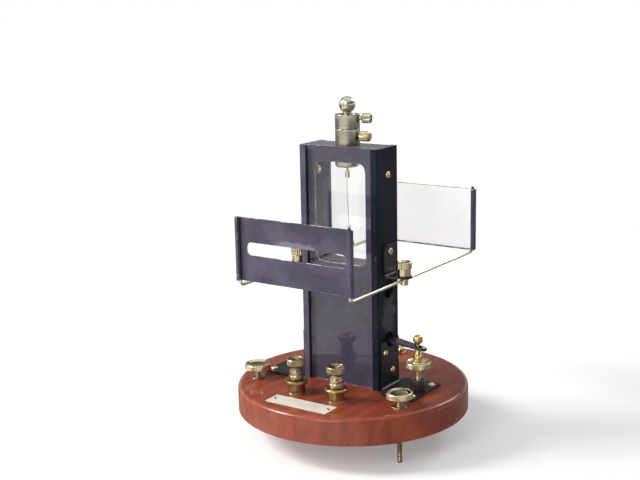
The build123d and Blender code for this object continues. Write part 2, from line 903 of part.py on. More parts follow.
def make_core_bracket():
    """Strap across the magnet's back with the post that holds the core."""
    face = tower_y + magnet_depth / 2
    middle = base_top + core_bottom + core_height / 2
    half = strap_height / 2
    strap = block(-strap_half_width, strap_half_width, face, face + strap_thickness,
                  middle - half, middle + half)
    post = along_y(0, tower_y, face, middle, core_post_radius)
    return (strap + post) - make_iron_core()


def make_magnet_pillars():
    """Brass pillars between the base board and the magnet."""
    pillars = []
    for x, y in pillar_places():
        foot = upright(x, y, base_top - pillar_spigot_length, base_top, pillar_spigot_radius)
        pillars.append(foot + upright(x, y, base_top, magnet_low, pillar_radius))
    return pillars


def lever_height(x):
    """Height of the lever's middle line at x."""
    return lever_z + (lift_x - x) * lever_slope


def pivot_height():
    """Height of the lever's pivot pin."""
    return lever_height(pivot_x) - pivot_drop / lever_cosine


def make_lever_bearing():
    """Forked bearing under the magnet that holds the lever's pin."""
    half = pivot_barrel_length / 2 + contact_free
    outer = half + cheek_thickness
    low = pivot_height() - bearing_below_pin
    length = bearing_half_length
    fork = block(pivot_x - length, pivot_x + length, lift_y - outer, lift_y + outer, low, magnet_low)
    length += cut_over
    fork -= block(pivot_x - length, pivot_x + length, lift_y - half, lift_y + half, low - cut_over,
                  magnet_low - bearing_bridge)
    outer += cut_over
    return fork - along_y(pivot_x, lift_y - outer, lift_y + outer, pivot_height(), pivot_pin_radius + seat)


def make_lever_pin():
    """Pivot pin of the lever."""
    outer = pivot_barrel_length / 2 + contact_free + cheek_thickness
    return along_y(pivot_x, lift_y - outer, lift_y + outer, pivot_height(), pivot_pin_radius)


def on_lever():
    """Place of the pivot pin, turned so that +X runs down along the lever."""
    return Pos(pivot_x, lift_y, pivot_height()) * Rot(0, lever_tilt, 0)


def make_lever_arm():
    """Tapered black lever, from its barrel through the side wall to the lifting screw."""
    tip = lever_length + lever_tip_length - lever_tip_radius
    outside = (tower_half + angle_thickness + lever_shoulder_gap - pivot_x) / lever_cosine
    outline = Polyline(
        (0, -pivot_barrel_length / 2),
        (outside, -lever_half_width),
        (outside, -lever_shoulder_near),
        (tip, -lever_tip_radius),
        (tip, lever_tip_radius),
        (outside, lever_shoulder_far),
        (outside, lever_half_width),
        (0, pivot_barrel_length / 2),
        close=True,
    )
    sheet = make_face(outline) + Pos(tip, 0) * Circle(lever_tip_radius)
    slot_half = neck_radius + lever_slot_clearance
    slot = Pos(lever_length, 0) * SlotOverall(lever_slot_length, 2 * slot_half)
    bar = Pos(0, 0, pivot_drop) * extrude(sheet - slot, lever_thickness / 2, both=True)
    barrel = Rot(90, 0, 0) * Cylinder(pivot_barrel_radius, pivot_barrel_length)
    bore = Rot(90, 0, 0) * Cylinder(pivot_pin_radius + running, 2 * pivot_barrel_length)
    return on_lever() * ((bar + barrel) - bore)


def make_lever_tip_screw():
    """Small screw in the lever's outer end."""
    x = lever_length + lever_tip_length - tip_screw_radius - tip_screw_margin
    head = slotted_head(tip_screw_radius, tip_screw_height)
    return on_lever() * Pos(x, 0, pivot_drop + lever_thickness / 2) * head


def make_lift_boss():
    """Ebonite boss that the lifting screw is threaded through."""
    top = angle_top + boss_height
    foot = angle_top - boss_spigot_length
    boss = upright(lift_x, lift_y, angle_top, top, boss_radius)
    boss = chamfer(boss.edges().group_by(Axis.Z)[-1], boss_bevel)
    boss += upright(lift_x, lift_y, foot, angle_top, boss_spigot_radius)
    return boss - upright(lift_x, lift_y, foot - cut_over, top + cut_over, lift_rod_radius + running)


def make_lift_spindle():
    """Lifting screw: threaded rod, bell-shaped collar under the lever, neck and ball above it."""
    bell = [(bell_radius * wide, wheel_top + bell_height * high) for wide, high in bell_profile]
    outline = [
        (0.0, base_top - lift_rod_sunk),
        (lift_rod_radius, base_top - lift_rod_sunk),
        (lift_rod_radius, wheel_top),
        *bell,
        (shoulder_radius, wheel_top + bell_height * shoulder_share),
        (shoulder_radius, bell_top),
        (neck_radius, bell_top),
        (neck_radius, bell_top + neck_length + knob_radius / 2),
        (0.0, bell_top + neck_length + knob_radius / 2),
    ]
    knob = Pos(lift_x, lift_y, bell_top + neck_length + knob_radius - knob_sink) * Sphere(knob_radius)
    return turned(lift_x, lift_y, outline) + knob


def make_lift_wheel():
    """Thumb disc of the lifting screw, with a raised seat for the bell in its dished top."""
    low = wheel_top - wheel_thickness
    bore = lift_rod_radius + running
    seat_radius = bell_radius + wheel_seat_width
    outline = [
        (bore, low),
        *disc_rim(wheel_radius, low, wheel_top),
        (seat_radius, wheel_top - dish_depth),
        (seat_radius, wheel_top - wheel_seat_drop),
        (bore, wheel_top - wheel_seat_drop),
    ]
    return turned(lift_x, lift_y, outline)


def make_arrest_rod():
    """Rod through the magnet's bend, with the pad that lifts the coil."""
    low = lever_height(0) + lever_half + lever_slope * arrest_rod_radius + contact_free
    pad_top = base_top + coil_bottom - arrest_gap
    pad = pad_top - arrest_pad_thickness
    rod = upright(0, tower_y, low, pad, arrest_rod_radius)
    return rod + upright(0, tower_y, pad, pad_top, arrest_pad_radius)


def make_carrier_brackets():
    """Black angle on each side wall, with a round-ended tab for the clamp."""
    y0 = wall_centre_y - bracket_half_width
    y1 = wall_centre_y + bracket_half_width
    leg_top = tab_bottom + bracket_leg_height
    end = rod_x + bracket_tip_radius
    bent = bent_angle(tower_half, end, tab_bottom, leg_top, bracket_thickness, bracket_bend)
    bracket = Pos(0, y1, 0) * extrude(bent, y1 - y0)
    bracket = fillet(bracket.edges().filter_by(Axis.X).group_by(Axis.Z)[-1], bracket_leg_corner)
    root = Polyline((tower_half, y0), (tower_half + bracket_bend, y0), (tower_half + bracket_bend, y1),
                    (tower_half, y1))
    tip = CenterArc((rod_x, wall_centre_y), bracket_tip_radius, 0, 360)
    plan = Pos(0, 0, tab_bottom) * extrude(make_hull([*root.edges(), tip]), bracket_leg_height)
    bracket &= plan
    face = tower_half + bracket_thickness
    bracket -= along_x(tower_half - cut_over, face + cut_over, wall_centre_y, bracket_screw_height,
                       screw_radius + seat)
    bracket -= upright(rod_x, wall_centre_y, tab_bottom - cut_over, tab_top + cut_over,
                       clamp_thread_radius + seat)
    return [mirror(bracket, about=Plane.YZ), bracket]


def make_clamp_studs():
    """Eye studs under the tabs, cross-bored for the carrier rods."""
    studs = []
    reach = clamp_stud_radius + cut_over
    thread_top = tab_top + clamp_nut_height - clamp_thread_sunk
    for side in (-1, 1):
        x = side * rod_x
        stud = upright(x, wall_centre_y, tab_bottom - clamp_stud_length, tab_bottom, clamp_stud_radius)
        stud = chamfer(stud.edges().group_by(Axis.Z)[0], clamp_stud_bevel)
        stud += upright(x, wall_centre_y, tab_bottom, thread_top, clamp_thread_radius)
        way = along_y(x, wall_centre_y - reach, wall_centre_y + reach, rod_z, rod_radius + running)
        studs.append(stud - way)
    return studs


def make_clamp_nut(side):
    """Stepped thumb nut that pulls the eye stud up, its upper rim fluted for the fingers."""
    low = tab_top + clamp_nut_lift
    high = tab_top + clamp_nut_height
    step = tab_top + clamp_nut_step
    bore = clamp_thread_radius + running
    outline = [
        (bore, low),
        (clamp_nut_lower_radius, low),
        (clamp_nut_lower_radius, step),
        *disc_rim(clamp_nut_radius, step, high),
        (bore, high - dish_depth),
    ]
    nut = turned(0, 0, outline)
    reach = clamp_nut_radius - grip_flute_depth + grip_flute_radius
    tools = PolarLocations(reach, grip_flutes) * Cylinder(grip_flute_radius, high - step)
    nut -= Pos(0, 0, (step + high) / 2) * Compound(children=list(tools))
    return Pos(side * rod_x, wall_centre_y, 0) * nut


def make_carrier_rods():
    """Two brass rods along Y, bent up inside the folded edges of both holders."""
    rods = []
    for side in (-1, 1):
        x = side * rod_x
        path = FilletPolyline(
            (x, wire_front_y, rod_end),
            (x, wire_front_y, rod_z),
            (x, wire_rear_y, rod_z),
            (x, wire_rear_y, rod_end - rod_rear_shorter),
            radius=rod_bend,
        )
        start = Plane(origin=(x, wire_front_y, rod_end), z_dir=(0, 0, -1))
        rods.append(sweep(start * Circle(rod_radius), path=path))
    return rods


def holder_shell(y_front, face_front, low):
    """Sheet with both upright edges folded forward and in, into narrow channels."""
    back = face_front + holder_sheet
    shell = block(-holder_half_width, holder_half_width, y_front, back, low, holder_top)
    shell = fillet(shell.edges().filter_by(Axis.Z), holder_bend)
    inner = holder_half_width - holder_sheet
    hollow = block(-inner, inner, y_front + holder_sheet, face_front, low - cut_over, holder_top + cut_over)
    shell -= fillet(hollow.edges().filter_by(Axis.Z), holder_bend - holder_sheet)
    mouth = holder_half_width - holder_lip
    return shell - block(-mouth, mouth, y_front - cut_over, y_front + holder_sheet + holder_bend,
                         low - cut_over, holder_top + cut_over)


def make_slot_holder():
    """Front holder: black sheet with one long round-ended slot."""
    face = wire_front_y + rod_radius + seat
    shell = holder_shell(front_holder_y, face, front_holder_bottom)
    outline = SlotOverall(2 * slot_half_length, 2 * slot_half_height)
    slot = extrude(outline, holder_sheet + cut_over, both=True)
    return shell - Pos(slot_centre_x, face, slot_centre_height) * Rot(90, 0, 0) * slot


def make_card_holder():
    """Rear holder: the same folded sheet, with a narrow shelf that the card stands on."""
    face = wire_rear_y + rod_radius + seat
    shell = holder_shell(rear_holder_y, face, rear_holder_bottom)
    shelf_half = rod_x - rod_radius - contact_free
    shelf = block(-shelf_half, shelf_half, rear_holder_y, face + holder_sheet, rear_holder_bottom,
                  rear_holder_bottom + holder_sheet)
    return shell + shelf


def make_white_card():
    """Plain card behind the lips of the rear holder."""
    low = rear_holder_bottom + holder_sheet + card_front_gap
    return block(-card_half_width, card_half_width, card_front_y, card_front_y + card_thickness,
                 low, holder_top + card_above)


def make_terminal_posts():
    """Fixed parts of the terminals: column, wide ring and threaded stud."""
    ring_low = base_top + terminal_column_height
    ring_high = ring_low + terminal_ring_height
    stud_top = ring_high + terminal_waist_height + terminal_head_height - terminal_stud_sunk
    bevel = terminal_ring_bevel
    outline = [
        (0.0, base_top - terminal_root_length),
        (terminal_stud_radius, base_top - terminal_root_length),
        (terminal_stud_radius, base_top),
        (terminal_column_radius, base_top),
        (terminal_column_radius, ring_low),
        (terminal_ring_radius - bevel, ring_low),
        (terminal_ring_radius, ring_low + bevel),
        (terminal_ring_radius, ring_high - bevel),
        (terminal_ring_radius - bevel, ring_high),
        (terminal_stud_radius, ring_high),
        (terminal_stud_radius, stud_top),
        (0.0, stud_top),
    ]
    return [turned(side * terminal_x, terminal_y, outline) for side in (-1, 1)]


def make_terminal_nut(side):
    """Waisted clamping nut with a broad head, dished on top."""
    ring_high = base_top + terminal_column_height + terminal_ring_height
    low = ring_high + terminal_nut_lift
    neck = ring_high + terminal_waist_height
    high = neck + terminal_head_height
    bore = terminal_stud_radius + running
    waist = [
        (terminal_waist_radius * wide, low + (neck - low) * share)
        for wide, share in terminal_waist_profile
    ]
    outline = [(bore, low), *waist, *disc_rim(terminal_head_radius, neck, high), (bore, high - dish_depth)]
    return turned(side * terminal_x, terminal_y, outline)


def make_nameplate():
    """Thin bare plate on the base board."""
    y0 = plate_y - plate_half_height
    y1 = plate_y + plate_half_height
    top = base_top + nameplate_thickness
    plate = block(-plate_half_length, plate_half_length, y0, y1, base_top, top)
    plate = fillet(plate.edges().filter_by(Axis.Z), plate_corner)
    for side in (-1, 1):
        plate -= upright(side * nameplate_pin_x, plate_y, base_top - cut_over, top + cut_over,
                         nameplate_pin_radius + seat)
    return plate


def make_nameplate_pins():
    """Round-head pins of the nameplate."""
    pins = []
    top = base_top + nameplate_thickness
    for side in (-1, 1):
        x = side * nameplate_pin_x
        pin = upright(x, plate_y, base_top - nameplate_pin_length, top, nameplate_pin_radius)
        head = upright(x, plate_y, top, top + nameplate_pin_head_height, nameplate_pin_head)
        pins.append(pin + fillet(head.edges().group_by(Axis.Z)[-1], nameplate_pin_round))
    return pins


def build():
    """Every node of the model, by name."""
    left, right, _ = level_places()
    face_back = 2 * tower_y
    return {
        "base_board": make_base_board(),
        "level_bushes": make_level_bushes(),
        "back_foot": make_back_foot(),
        "back_foot_nut": make_back_foot_nut(),
        "side_channel_left": make_side_channel(-1),
        "side_channel_right": make_side_channel(1),
        "cover_rails": make_cover_rails(),
        "top_plate": make_top_plate(),
        "wall_screws": make_wall_screws(),
        "wall_nuts": make_wall_nuts(),
        "ear_washers": make_ear_washers(),
        "foot_angle_left": make_foot_angle(-1),
        "foot_angle_right": make_foot_angle(1),
        "wood_screws": make_wood_screws(),
        "carrier_brackets": make_carrier_brackets(),
        "clamp_studs": make_clamp_studs(),
        "torsion_socket": make_torsion_socket(),
        "lock_nut": make_lock_nut(),
        "nameplate": make_nameplate(),
        "nameplate_pins": make_nameplate_pins(),
        "terminal_posts": make_terminal_posts(),
        "magnet": make_magnet(),
        "pole_pieces": make_pole_pieces(),
        "iron_core": make_iron_core(),
        "core_bracket": make_core_bracket(),
        "magnet_pillars": make_magnet_pillars(),
        "lever_bearing": make_lever_bearing(),
        "lever_pin": make_lever_pin(),
        "lift_boss": make_lift_boss(),
        "front_plate": cover_plate(plate_front, plate_back),
        "front_glass": cover_glass(glass_front, plate_front),
        "rear_plate": cover_plate(face_back - plate_back, face_back - plate_front),
        "rear_glass": cover_glass(face_back - plate_front, face_back - glass_front),
        "torsion_collar": make_torsion_collar(),
        "collar_clamp_screw": make_clamp_screw(
            upper_clamp_angle, upper_clamp_start, upper_clamp_length,
            collar_top - upper_clamp_drop, stem_radius + contact_free),
        "socket_clamp_screw": make_clamp_screw(
            lower_clamp_angle, lower_clamp_start, lower_clamp_length,
            tower_top + lower_clamp_rise, collar_spigot_radius + contact_free),
        "suspension_stem": make_suspension_stem(),
        "strip_clamp": make_strip_clamp(),
        "suspension_strip": make_suspension_strip(),
        "mirror": make_mirror(),
        "coil_winding": make_coil(),
        "coil_spindle": make_coil_spindle(),
        "lift_spindle": make_lift_spindle(),
        "lift_wheel": make_lift_wheel(),
        "lever_arm": make_lever_arm(),
        "lever_tip_screw": make_lever_tip_screw(),
        "arrest_rod": make_arrest_rod(),
        "carrier_rods": make_carrier_rods(),
        "slot_holder": make_slot_holder(),
        "card_holder": make_card_holder(),
        "white_card": make_white_card(),
        "clamp_nut_left": make_clamp_nut(-1),
        "clamp_nut_right": make_clamp_nut(1),
        "terminal_nut_left": make_terminal_nut(-1),
        "terminal_nut_right": make_terminal_nut(1),
        "level_rod_left": make_level_rod(*left),
        "level_rod_right": make_level_rod(*right),
        "level_head_left": make_level_head(*left),
        "level_head_right": make_level_head(*right),
    }


os.makedirs("parts", exist_ok=True)
for name, shape in build().items():
    solids = shape if isinstance(shape, list) else [shape]
    node = Compound(children=[solid for piece in solids for solid in piece.solids()])
    export_step(node, os.path.join("parts", name + ".step"))
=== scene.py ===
"""Suspended-coil galvanometer: fine shapes, finishes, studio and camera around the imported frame."""
import logging
import math
from collections.abc import Sequence
from dataclasses import dataclass
from enum import Enum

import bmesh
import bpy
import numpy as np
from mathutils import Matrix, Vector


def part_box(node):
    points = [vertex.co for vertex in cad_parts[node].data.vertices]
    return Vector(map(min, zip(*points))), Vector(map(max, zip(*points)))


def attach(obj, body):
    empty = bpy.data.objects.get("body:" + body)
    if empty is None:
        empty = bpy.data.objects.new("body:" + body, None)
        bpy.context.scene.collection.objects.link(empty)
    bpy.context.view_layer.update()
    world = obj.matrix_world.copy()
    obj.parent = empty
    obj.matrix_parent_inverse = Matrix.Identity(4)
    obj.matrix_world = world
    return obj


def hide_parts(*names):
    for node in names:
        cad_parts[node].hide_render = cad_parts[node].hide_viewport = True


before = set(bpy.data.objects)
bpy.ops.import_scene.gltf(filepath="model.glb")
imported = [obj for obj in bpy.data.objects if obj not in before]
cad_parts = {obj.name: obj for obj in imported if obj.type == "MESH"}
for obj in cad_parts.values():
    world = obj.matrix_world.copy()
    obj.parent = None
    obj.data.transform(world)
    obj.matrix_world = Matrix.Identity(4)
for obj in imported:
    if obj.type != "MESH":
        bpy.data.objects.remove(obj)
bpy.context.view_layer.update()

MM = 0.001
MERGE_METRES = 1e-7
SAME_POINT = 1e-6
LONGEST_CUT = 0.48
POINTS_PER_RIDGE = 4
THREAD_COLUMNS = 20
THREAD_ROWS_PER_TURN = 5
LOG = logging.getLogger("galvanometer")
X_AXIS, Y_AXIS, Z_AXIS = np.eye(3)


@dataclass
class Shape:
    """Points in millimetres and the faces over them."""

    points: np.ndarray
    faces: list[tuple[int, ...]]

    def placed(self, origin: Sequence[float], u: np.ndarray = X_AXIS, v: np.ndarray = Y_AXIS,
               w: np.ndarray = Z_AXIS) -> "Shape":
        """Returns a copy with its own x, y and z along u, v and w from origin."""
        frame_axes = np.array([u, v, w], float)
        return Shape(np.array(origin, float) + self.points @ frame_axes, self.faces)


def joined(shapes: Sequence[Shape]) -> Shape:
    """Returns one shape that holds several."""
    starts = np.cumsum([0] + [len(shape.points) for shape in shapes[:-1]])
    faces = [tuple(i + start for i in face) for shape, start in zip(shapes, starts.tolist())
             for face in shape.faces]
    return Shape(np.concatenate([shape.points for shape in shapes]), faces)


def skin(grid: np.ndarray, loop: bool = False) -> Shape:
    """Lays faces over rows of closed rings.

    Each face joins a point with the next one round its ring and the same two on the next ring. Open
    skins end in a flat cap.

    Args:
        grid: Points by row, column and coordinate.
        loop: Whether the last row joins the first.

    Returns:
        The closed surface.
    """
    rows, columns = grid.shape[:2]
    index = np.arange(rows * columns).reshape(rows, columns)
    lower = index if loop else index[:-1]
    upper = np.roll(index, -1, axis=0) if loop else index[1:]
    corners = [lower, np.roll(lower, -1, axis=1), np.roll(upper, -1, axis=1), upper]
    faces = [tuple(quad) for quad in np.stack(corners, axis=-1).reshape(-1, 4).tolist()]
    if not loop:
        faces += [tuple(index[0].tolist()), tuple(index[-1].tolist())]
    return Shape(grid.reshape(-1, 3), faces)


def soften(corners: Sequence[Sequence[float]], radius: float | Sequence[float], steps: int = 4,
           closed: bool = False) -> np.ndarray:
    """Rounds the corners of an outline.

    Each corner P becomes the quadratic curve (1-t)(1-t) A + 2t(1-t) P + t t B, where A and B lie at the
    radius from P towards its neighbours, or at 0.48 of the way to them where that is less.

    Args:
        corners: Outline corners, two or three coordinates each.
        radius: Cut at each corner, one for all or one each.
        steps: Points per rounded corner.
        closed: Whether the last corner joins the first.

    Returns:
        The rounded outline.
    """
    at = np.array(corners, float)
    before, after = np.roll(at, 1, axis=0) - at, np.roll(at, -1, axis=0) - at
    cuts = np.broadcast_to(np.array(radius, float), len(at)).copy()
    if not closed:
        cuts[[0, -1]] = 0.0
    sides = []
    for way in (before, after):
        length = np.maximum(np.linalg.norm(way, axis=1), SAME_POINT)
        sides.append(at + way * (np.minimum(cuts, LONGEST_CUT * length) / length)[:, None])
    t = np.linspace(0, 1, steps)[None, :, None]
    start, end, corner = sides[0][:, None], sides[1][:, None], at[:, None]
    curve = (1 - t) ** 2 * start + 2 * t * (1 - t) * corner + t ** 2 * end
    flat = curve.reshape(-1, at.shape[1])
    keep = np.r_[True, np.linalg.norm(np.diff(flat, axis=0), axis=1) > SAME_POINT]
    return flat[keep]


def rounded(points: Sequence[tuple[float, float, float]], steps: int = 4,
            closed: bool = False) -> np.ndarray:
    """Softens a plane outline whose corners carry their own cut as a third number."""
    table = np.array(points, float)
    return soften(table[:, :2], table[:, 2], steps, closed)


def rectangle(low: Sequence[float], high: Sequence[float]) -> list[tuple[float, float]]:
    """Corners of a plane rectangle, round from the lowest one."""
    (x0, y0), (x1, y1) = low, high
    return [(x0, y0), (x1, y0), (x1, y1), (x0, y1)]


@dataclass(frozen=True)
class Knurl:
    """Straight ridges round a turned band, between two heights of its profile."""

    ridges: int
    depth: float
    low: float
    high: float


def turned(profile: np.ndarray, columns: int = 64, knurl: Knurl | None = None,
           bored: bool = False) -> Shape:
    """Turns a profile of radius and height about its own z.

    The point at angle a is (r cos a, r sin a, z). On a knurled band r loses depth (1 - cos(n a)) / 2,
    where n is the number of ridges. The band is the outermost part of the profile between the
    knurl's heights, four of its depths deep.

    Args:
        profile: Radius and height of each point.
        columns: Points round the axis on a plain piece.
        knurl: Ridges, if any.
        bored: Whether the profile is a closed loop round a bore.

    Returns:
        The turned surface.
    """
    count = POINTS_PER_RIDGE * knurl.ridges if knurl else columns
    angle = np.linspace(0, 2 * np.pi, count, endpoint=False)
    radius = np.repeat(profile[:, :1], count, axis=1)
    if knurl:
        reach, height = profile.T
        outermost = reach > reach.max() - 4 * knurl.depth
        band = outermost & (height >= knurl.low) & (height <= knurl.high)
        radius = radius - band[:, None] * knurl.depth * (1 - np.cos(knurl.ridges * angle)) / 2
    height = np.repeat(profile[:, 1:], count, axis=1)
    grid = np.stack([radius * np.cos(angle), radius * np.sin(angle), height], axis=-1)
    return skin(grid, loop=bored)


def threaded(radius: float, low: float, high: float, pitch: float, depth: float) -> Shape:
    """Screw thread about z.

    The radius at angle a and height z is R - depth times the distance of z / pitch - a / 2 pi from
    the nearest crest, doubled, and the ends close on the core.

    Args:
        radius: Crest radius.
        low: Lower end.
        high: Upper end.
        pitch: Rise per turn.
        depth: Depth of the thread.

    Returns:
        The threaded bar.
    """
    heights = np.linspace(low, high, max(int((high - low) / pitch * THREAD_ROWS_PER_TURN), 4))
    angle = np.linspace(0, 2 * np.pi, THREAD_COLUMNS, endpoint=False)
    turns = heights[:, None] / pitch - angle[None] / (2 * np.pi)
    saw = 2 * np.abs(turns - np.round(turns))
    size = radius - depth * saw
    size[[0, -1]] = radius - depth
    grid = np.stack([size * np.cos(angle), size * np.sin(angle),
                     np.repeat(heights[:, None], THREAD_COLUMNS, axis=1)], axis=-1)
    return skin(grid)


def prism(outline: np.ndarray, low: float, high: float) -> Shape:
    """Carries a closed plane outline along z from low to high."""
    rows = [np.column_stack([outline, np.full(len(outline), z)]) for z in (low, high)]
    return skin(np.stack(rows))


def slab(low: Sequence[float], high: Sequence[float]) -> Shape:
    """Block between two corners."""
    return prism(np.array(rectangle(low[:2], high[:2]), float), low[2], high[2])


def bar(start: Sequence[float], end: Sequence[float], radius: float, columns: int = 48) -> Shape:
    """Round bar from start to end: a circle of the radius carried along the straight line."""
    a, b = np.array(start, float), np.array(end, float)
    length = np.linalg.norm(b - a)
    w = (b - a) / length
    u = np.cross(w, X_AXIS if abs(w[0]) < 0.9 else Y_AXIS)
    u /= np.linalg.norm(u)
    return turned(np.array([(radius, 0), (radius, length)]), columns).placed(a, u, np.cross(w, u), w)


def tube(path: np.ndarray, radius: float, side: np.ndarray, columns: int = 24) -> Shape:
    """Carries a circle along a plane path: path + r (cos a side + sin a (tangent x side))."""
    tangent = np.gradient(path, axis=0)
    tangent /= np.linalg.norm(tangent, axis=1)[:, None]
    angle = np.linspace(0, 2 * np.pi, columns, endpoint=False)[None, :, None]
    across = np.cross(tangent, side)[:, None]
    return skin(path[:, None] + radius * (np.cos(angle) * side + np.sin(angle) * across))


def strip(path: np.ndarray, side: np.ndarray, low: np.ndarray, high: np.ndarray,
          thickness: float) -> Shape:
    """Sheet strip along a plane path.

    Each station is a rectangle: from low to high along side, and half the thickness to each side of
    the path along the normal (tangent x side).

    Args:
        path: Middle line of the sheet's thickness.
        side: Direction of the strip's width.
        low: Lower limit of the width at each station, or one for all.
        high: Upper limit of the width.
        thickness: Sheet thickness.

    Returns:
        The closed strip.
    """
    tangent = np.gradient(path, axis=0)
    tangent /= np.linalg.norm(tangent, axis=1)[:, None]
    normal = np.cross(tangent, side) * thickness / 2
    low, high = (np.broadcast_to(limit, len(path))[:, None] * side for limit in (low, high))
    return skin(np.stack([path + low - normal, path + high - normal, path + high + normal,
                          path + low + normal], axis=1))


def evaluated_mesh(thing: bpy.types.Object) -> bpy.types.Mesh:
    """Returns a new mesh of an object with its modifiers applied."""
    depsgraph = bpy.context.evaluated_depsgraph_get()
    return bpy.data.meshes.new_from_object(thing.evaluated_get(depsgraph))


def shape_of(thing: bpy.types.Object) -> Shape:
    """Returns the shape of an object's evaluated mesh."""
    mesh = evaluated_mesh(thing)
    points = np.empty(len(mesh.vertices) * 3)
    mesh.vertices.foreach_get("co", points)
    faces = [tuple(polygon.vertices) for polygon in mesh.polygons]
    bpy.data.meshes.remove(mesh)
    return Shape(points.reshape(-1, 3) / MM, faces)


def raw_object(name: str, shape: Shape) -> bpy.types.Object:
    """Makes a mesh object in metres with its doubles merged and its faces outwards."""
    mesh = bpy.data.meshes.new(name)
    mesh.from_pydata((shape.points * MM).tolist(), [], shape.faces)
    net = bmesh.new()
    net.from_mesh(mesh)
    bmesh.ops.remove_doubles(net, verts=net.verts, dist=MERGE_METRES)
    bmesh.ops.recalc_face_normals(net, faces=net.faces)
    net.to_mesh(mesh)
    net.free()
    thing = bpy.data.objects.new(name, mesh)
    bpy.context.scene.collection.objects.link(thing)
    return thing


def cut_away(thing: bpy.types.Object, cutters: Sequence[Shape]) -> None:
    """Subtracts closed shapes from an object."""
    for number, cutter in enumerate(cutters):
        tool = raw_object(f"{thing.name}_cut_{number}", cutter)
        modifier = thing.modifiers.new("cut", "BOOLEAN")
        modifier.operation = "DIFFERENCE"
        modifier.solver = "EXACT"
        modifier.object = tool
        mesh = evaluated_mesh(thing)
        thing.modifiers.clear()
        thing.data = mesh
        bpy.data.objects.remove(tool)


class Socket(Enum):
    """Kinds of value that a shader group takes or gives."""

    NUMBER = "NodeSocketFloat"
    COLOUR = "NodeSocketColor"


class Graph:
    """Short hand for building a node tree."""

    def __init__(self, tree: bpy.types.NodeTree) -> None:
        """Starts on an empty tree."""
        self.tree = tree
        tree.nodes.clear()

    def put(self, entry: bpy.types.NodeSocket, value: object) -> None:
        """Links an input to a socket, or sets its own value."""
        if isinstance(value, bpy.types.NodeSocket):
            self.tree.links.new(value, entry)
        else:
            entry.default_value = value

    def add(self, kind: str, settings: dict | None = None, **inputs: object) -> bpy.types.Node:
        """Adds a node.

        Args:
            kind: Node type without its ShaderNode prefix.
            settings: Node properties.
            **inputs: Values or sockets by input name, with spaces as underscores, or by number as in_2.

        Returns:
            The node.
        """
        node = self.tree.nodes.new("ShaderNode" + kind)
        for key, value in (settings or {}).items():
            setattr(node, key, value)
        for key, value in inputs.items():
            numbered = key.startswith("in_")
            self.put(node.inputs[int(key[3:]) if numbered else key.replace("_", " ")], value)
        return node

    def math(self, operation: str, first: object, second: object = 0.0) -> bpy.types.NodeSocket:
        """Returns the result of a math node."""
        return self.add("Math", {"operation": operation}, in_0=first, in_1=second).outputs[0]

    def weighted(self, values: Sequence[object], weights: Sequence[object]) -> bpy.types.NodeSocket:
        """Returns the sum of two values, each times its weight."""
        return self.math("ADD", *(self.math("MULTIPLY", value, weight)
                                  for value, weight in zip(values, weights)))

    def length(self, first: object, second: object) -> bpy.types.NodeSocket:
        """Returns the square root of the sum of two squares."""
        return self.math("SQRT", self.weighted((first, second), (first, second)))

    def ramp(self, value: object, low: float, high: float, start: float = 0.0,
             end: float = 1.0) -> bpy.types.NodeSocket:
        """Returns value taken smoothly from low..high to start..end and held there."""
        node = self.add("MapRange", {"interpolation_type": "SMOOTHSTEP"}, Value=value, From_Min=low,
                        From_Max=high, To_Min=start, To_Max=end)
        return node.outputs[0]

    def mix(self, share: object, first: object, second: object,
            blend: str = "MIX") -> bpy.types.NodeSocket:
        """Returns two colours mixed."""
        node = self.add("Mix", {"data_type": "RGBA", "blend_type": blend}, in_0=share, in_6=first,
                        in_7=second)
        return node.outputs[2]

    def place(self, stretch: Sequence[float] = (1, 1, 1), turn: Sequence[float] = (0, 0, 0),
              centre: Sequence[float] = (0, 0, 0)) -> bpy.types.NodeSocket:
        """Returns Object coordinates, moved by centre, turned and stretched."""
        at = self.add("TexCoord").outputs["Object"]
        node = self.add("Mapping", {"vector_type": "POINT"}, Vector=at, Rotation=turn,
                        Location=tuple(-c * s for c, s in zip(centre, stretch)), Scale=stretch)
        return node.outputs[0]

    def noise(self, scale: object, detail: float = 2.0, vector: object = None,
              rough: float = 0.5, twist: float = 0.0) -> bpy.types.NodeSocket:
        """Returns a noise value."""
        where = self.place() if vector is None else vector
        node = self.add("TexNoise", Vector=where, Scale=scale, Detail=detail, Roughness=rough,
                        Distortion=twist)
        return node.outputs["Fac"]


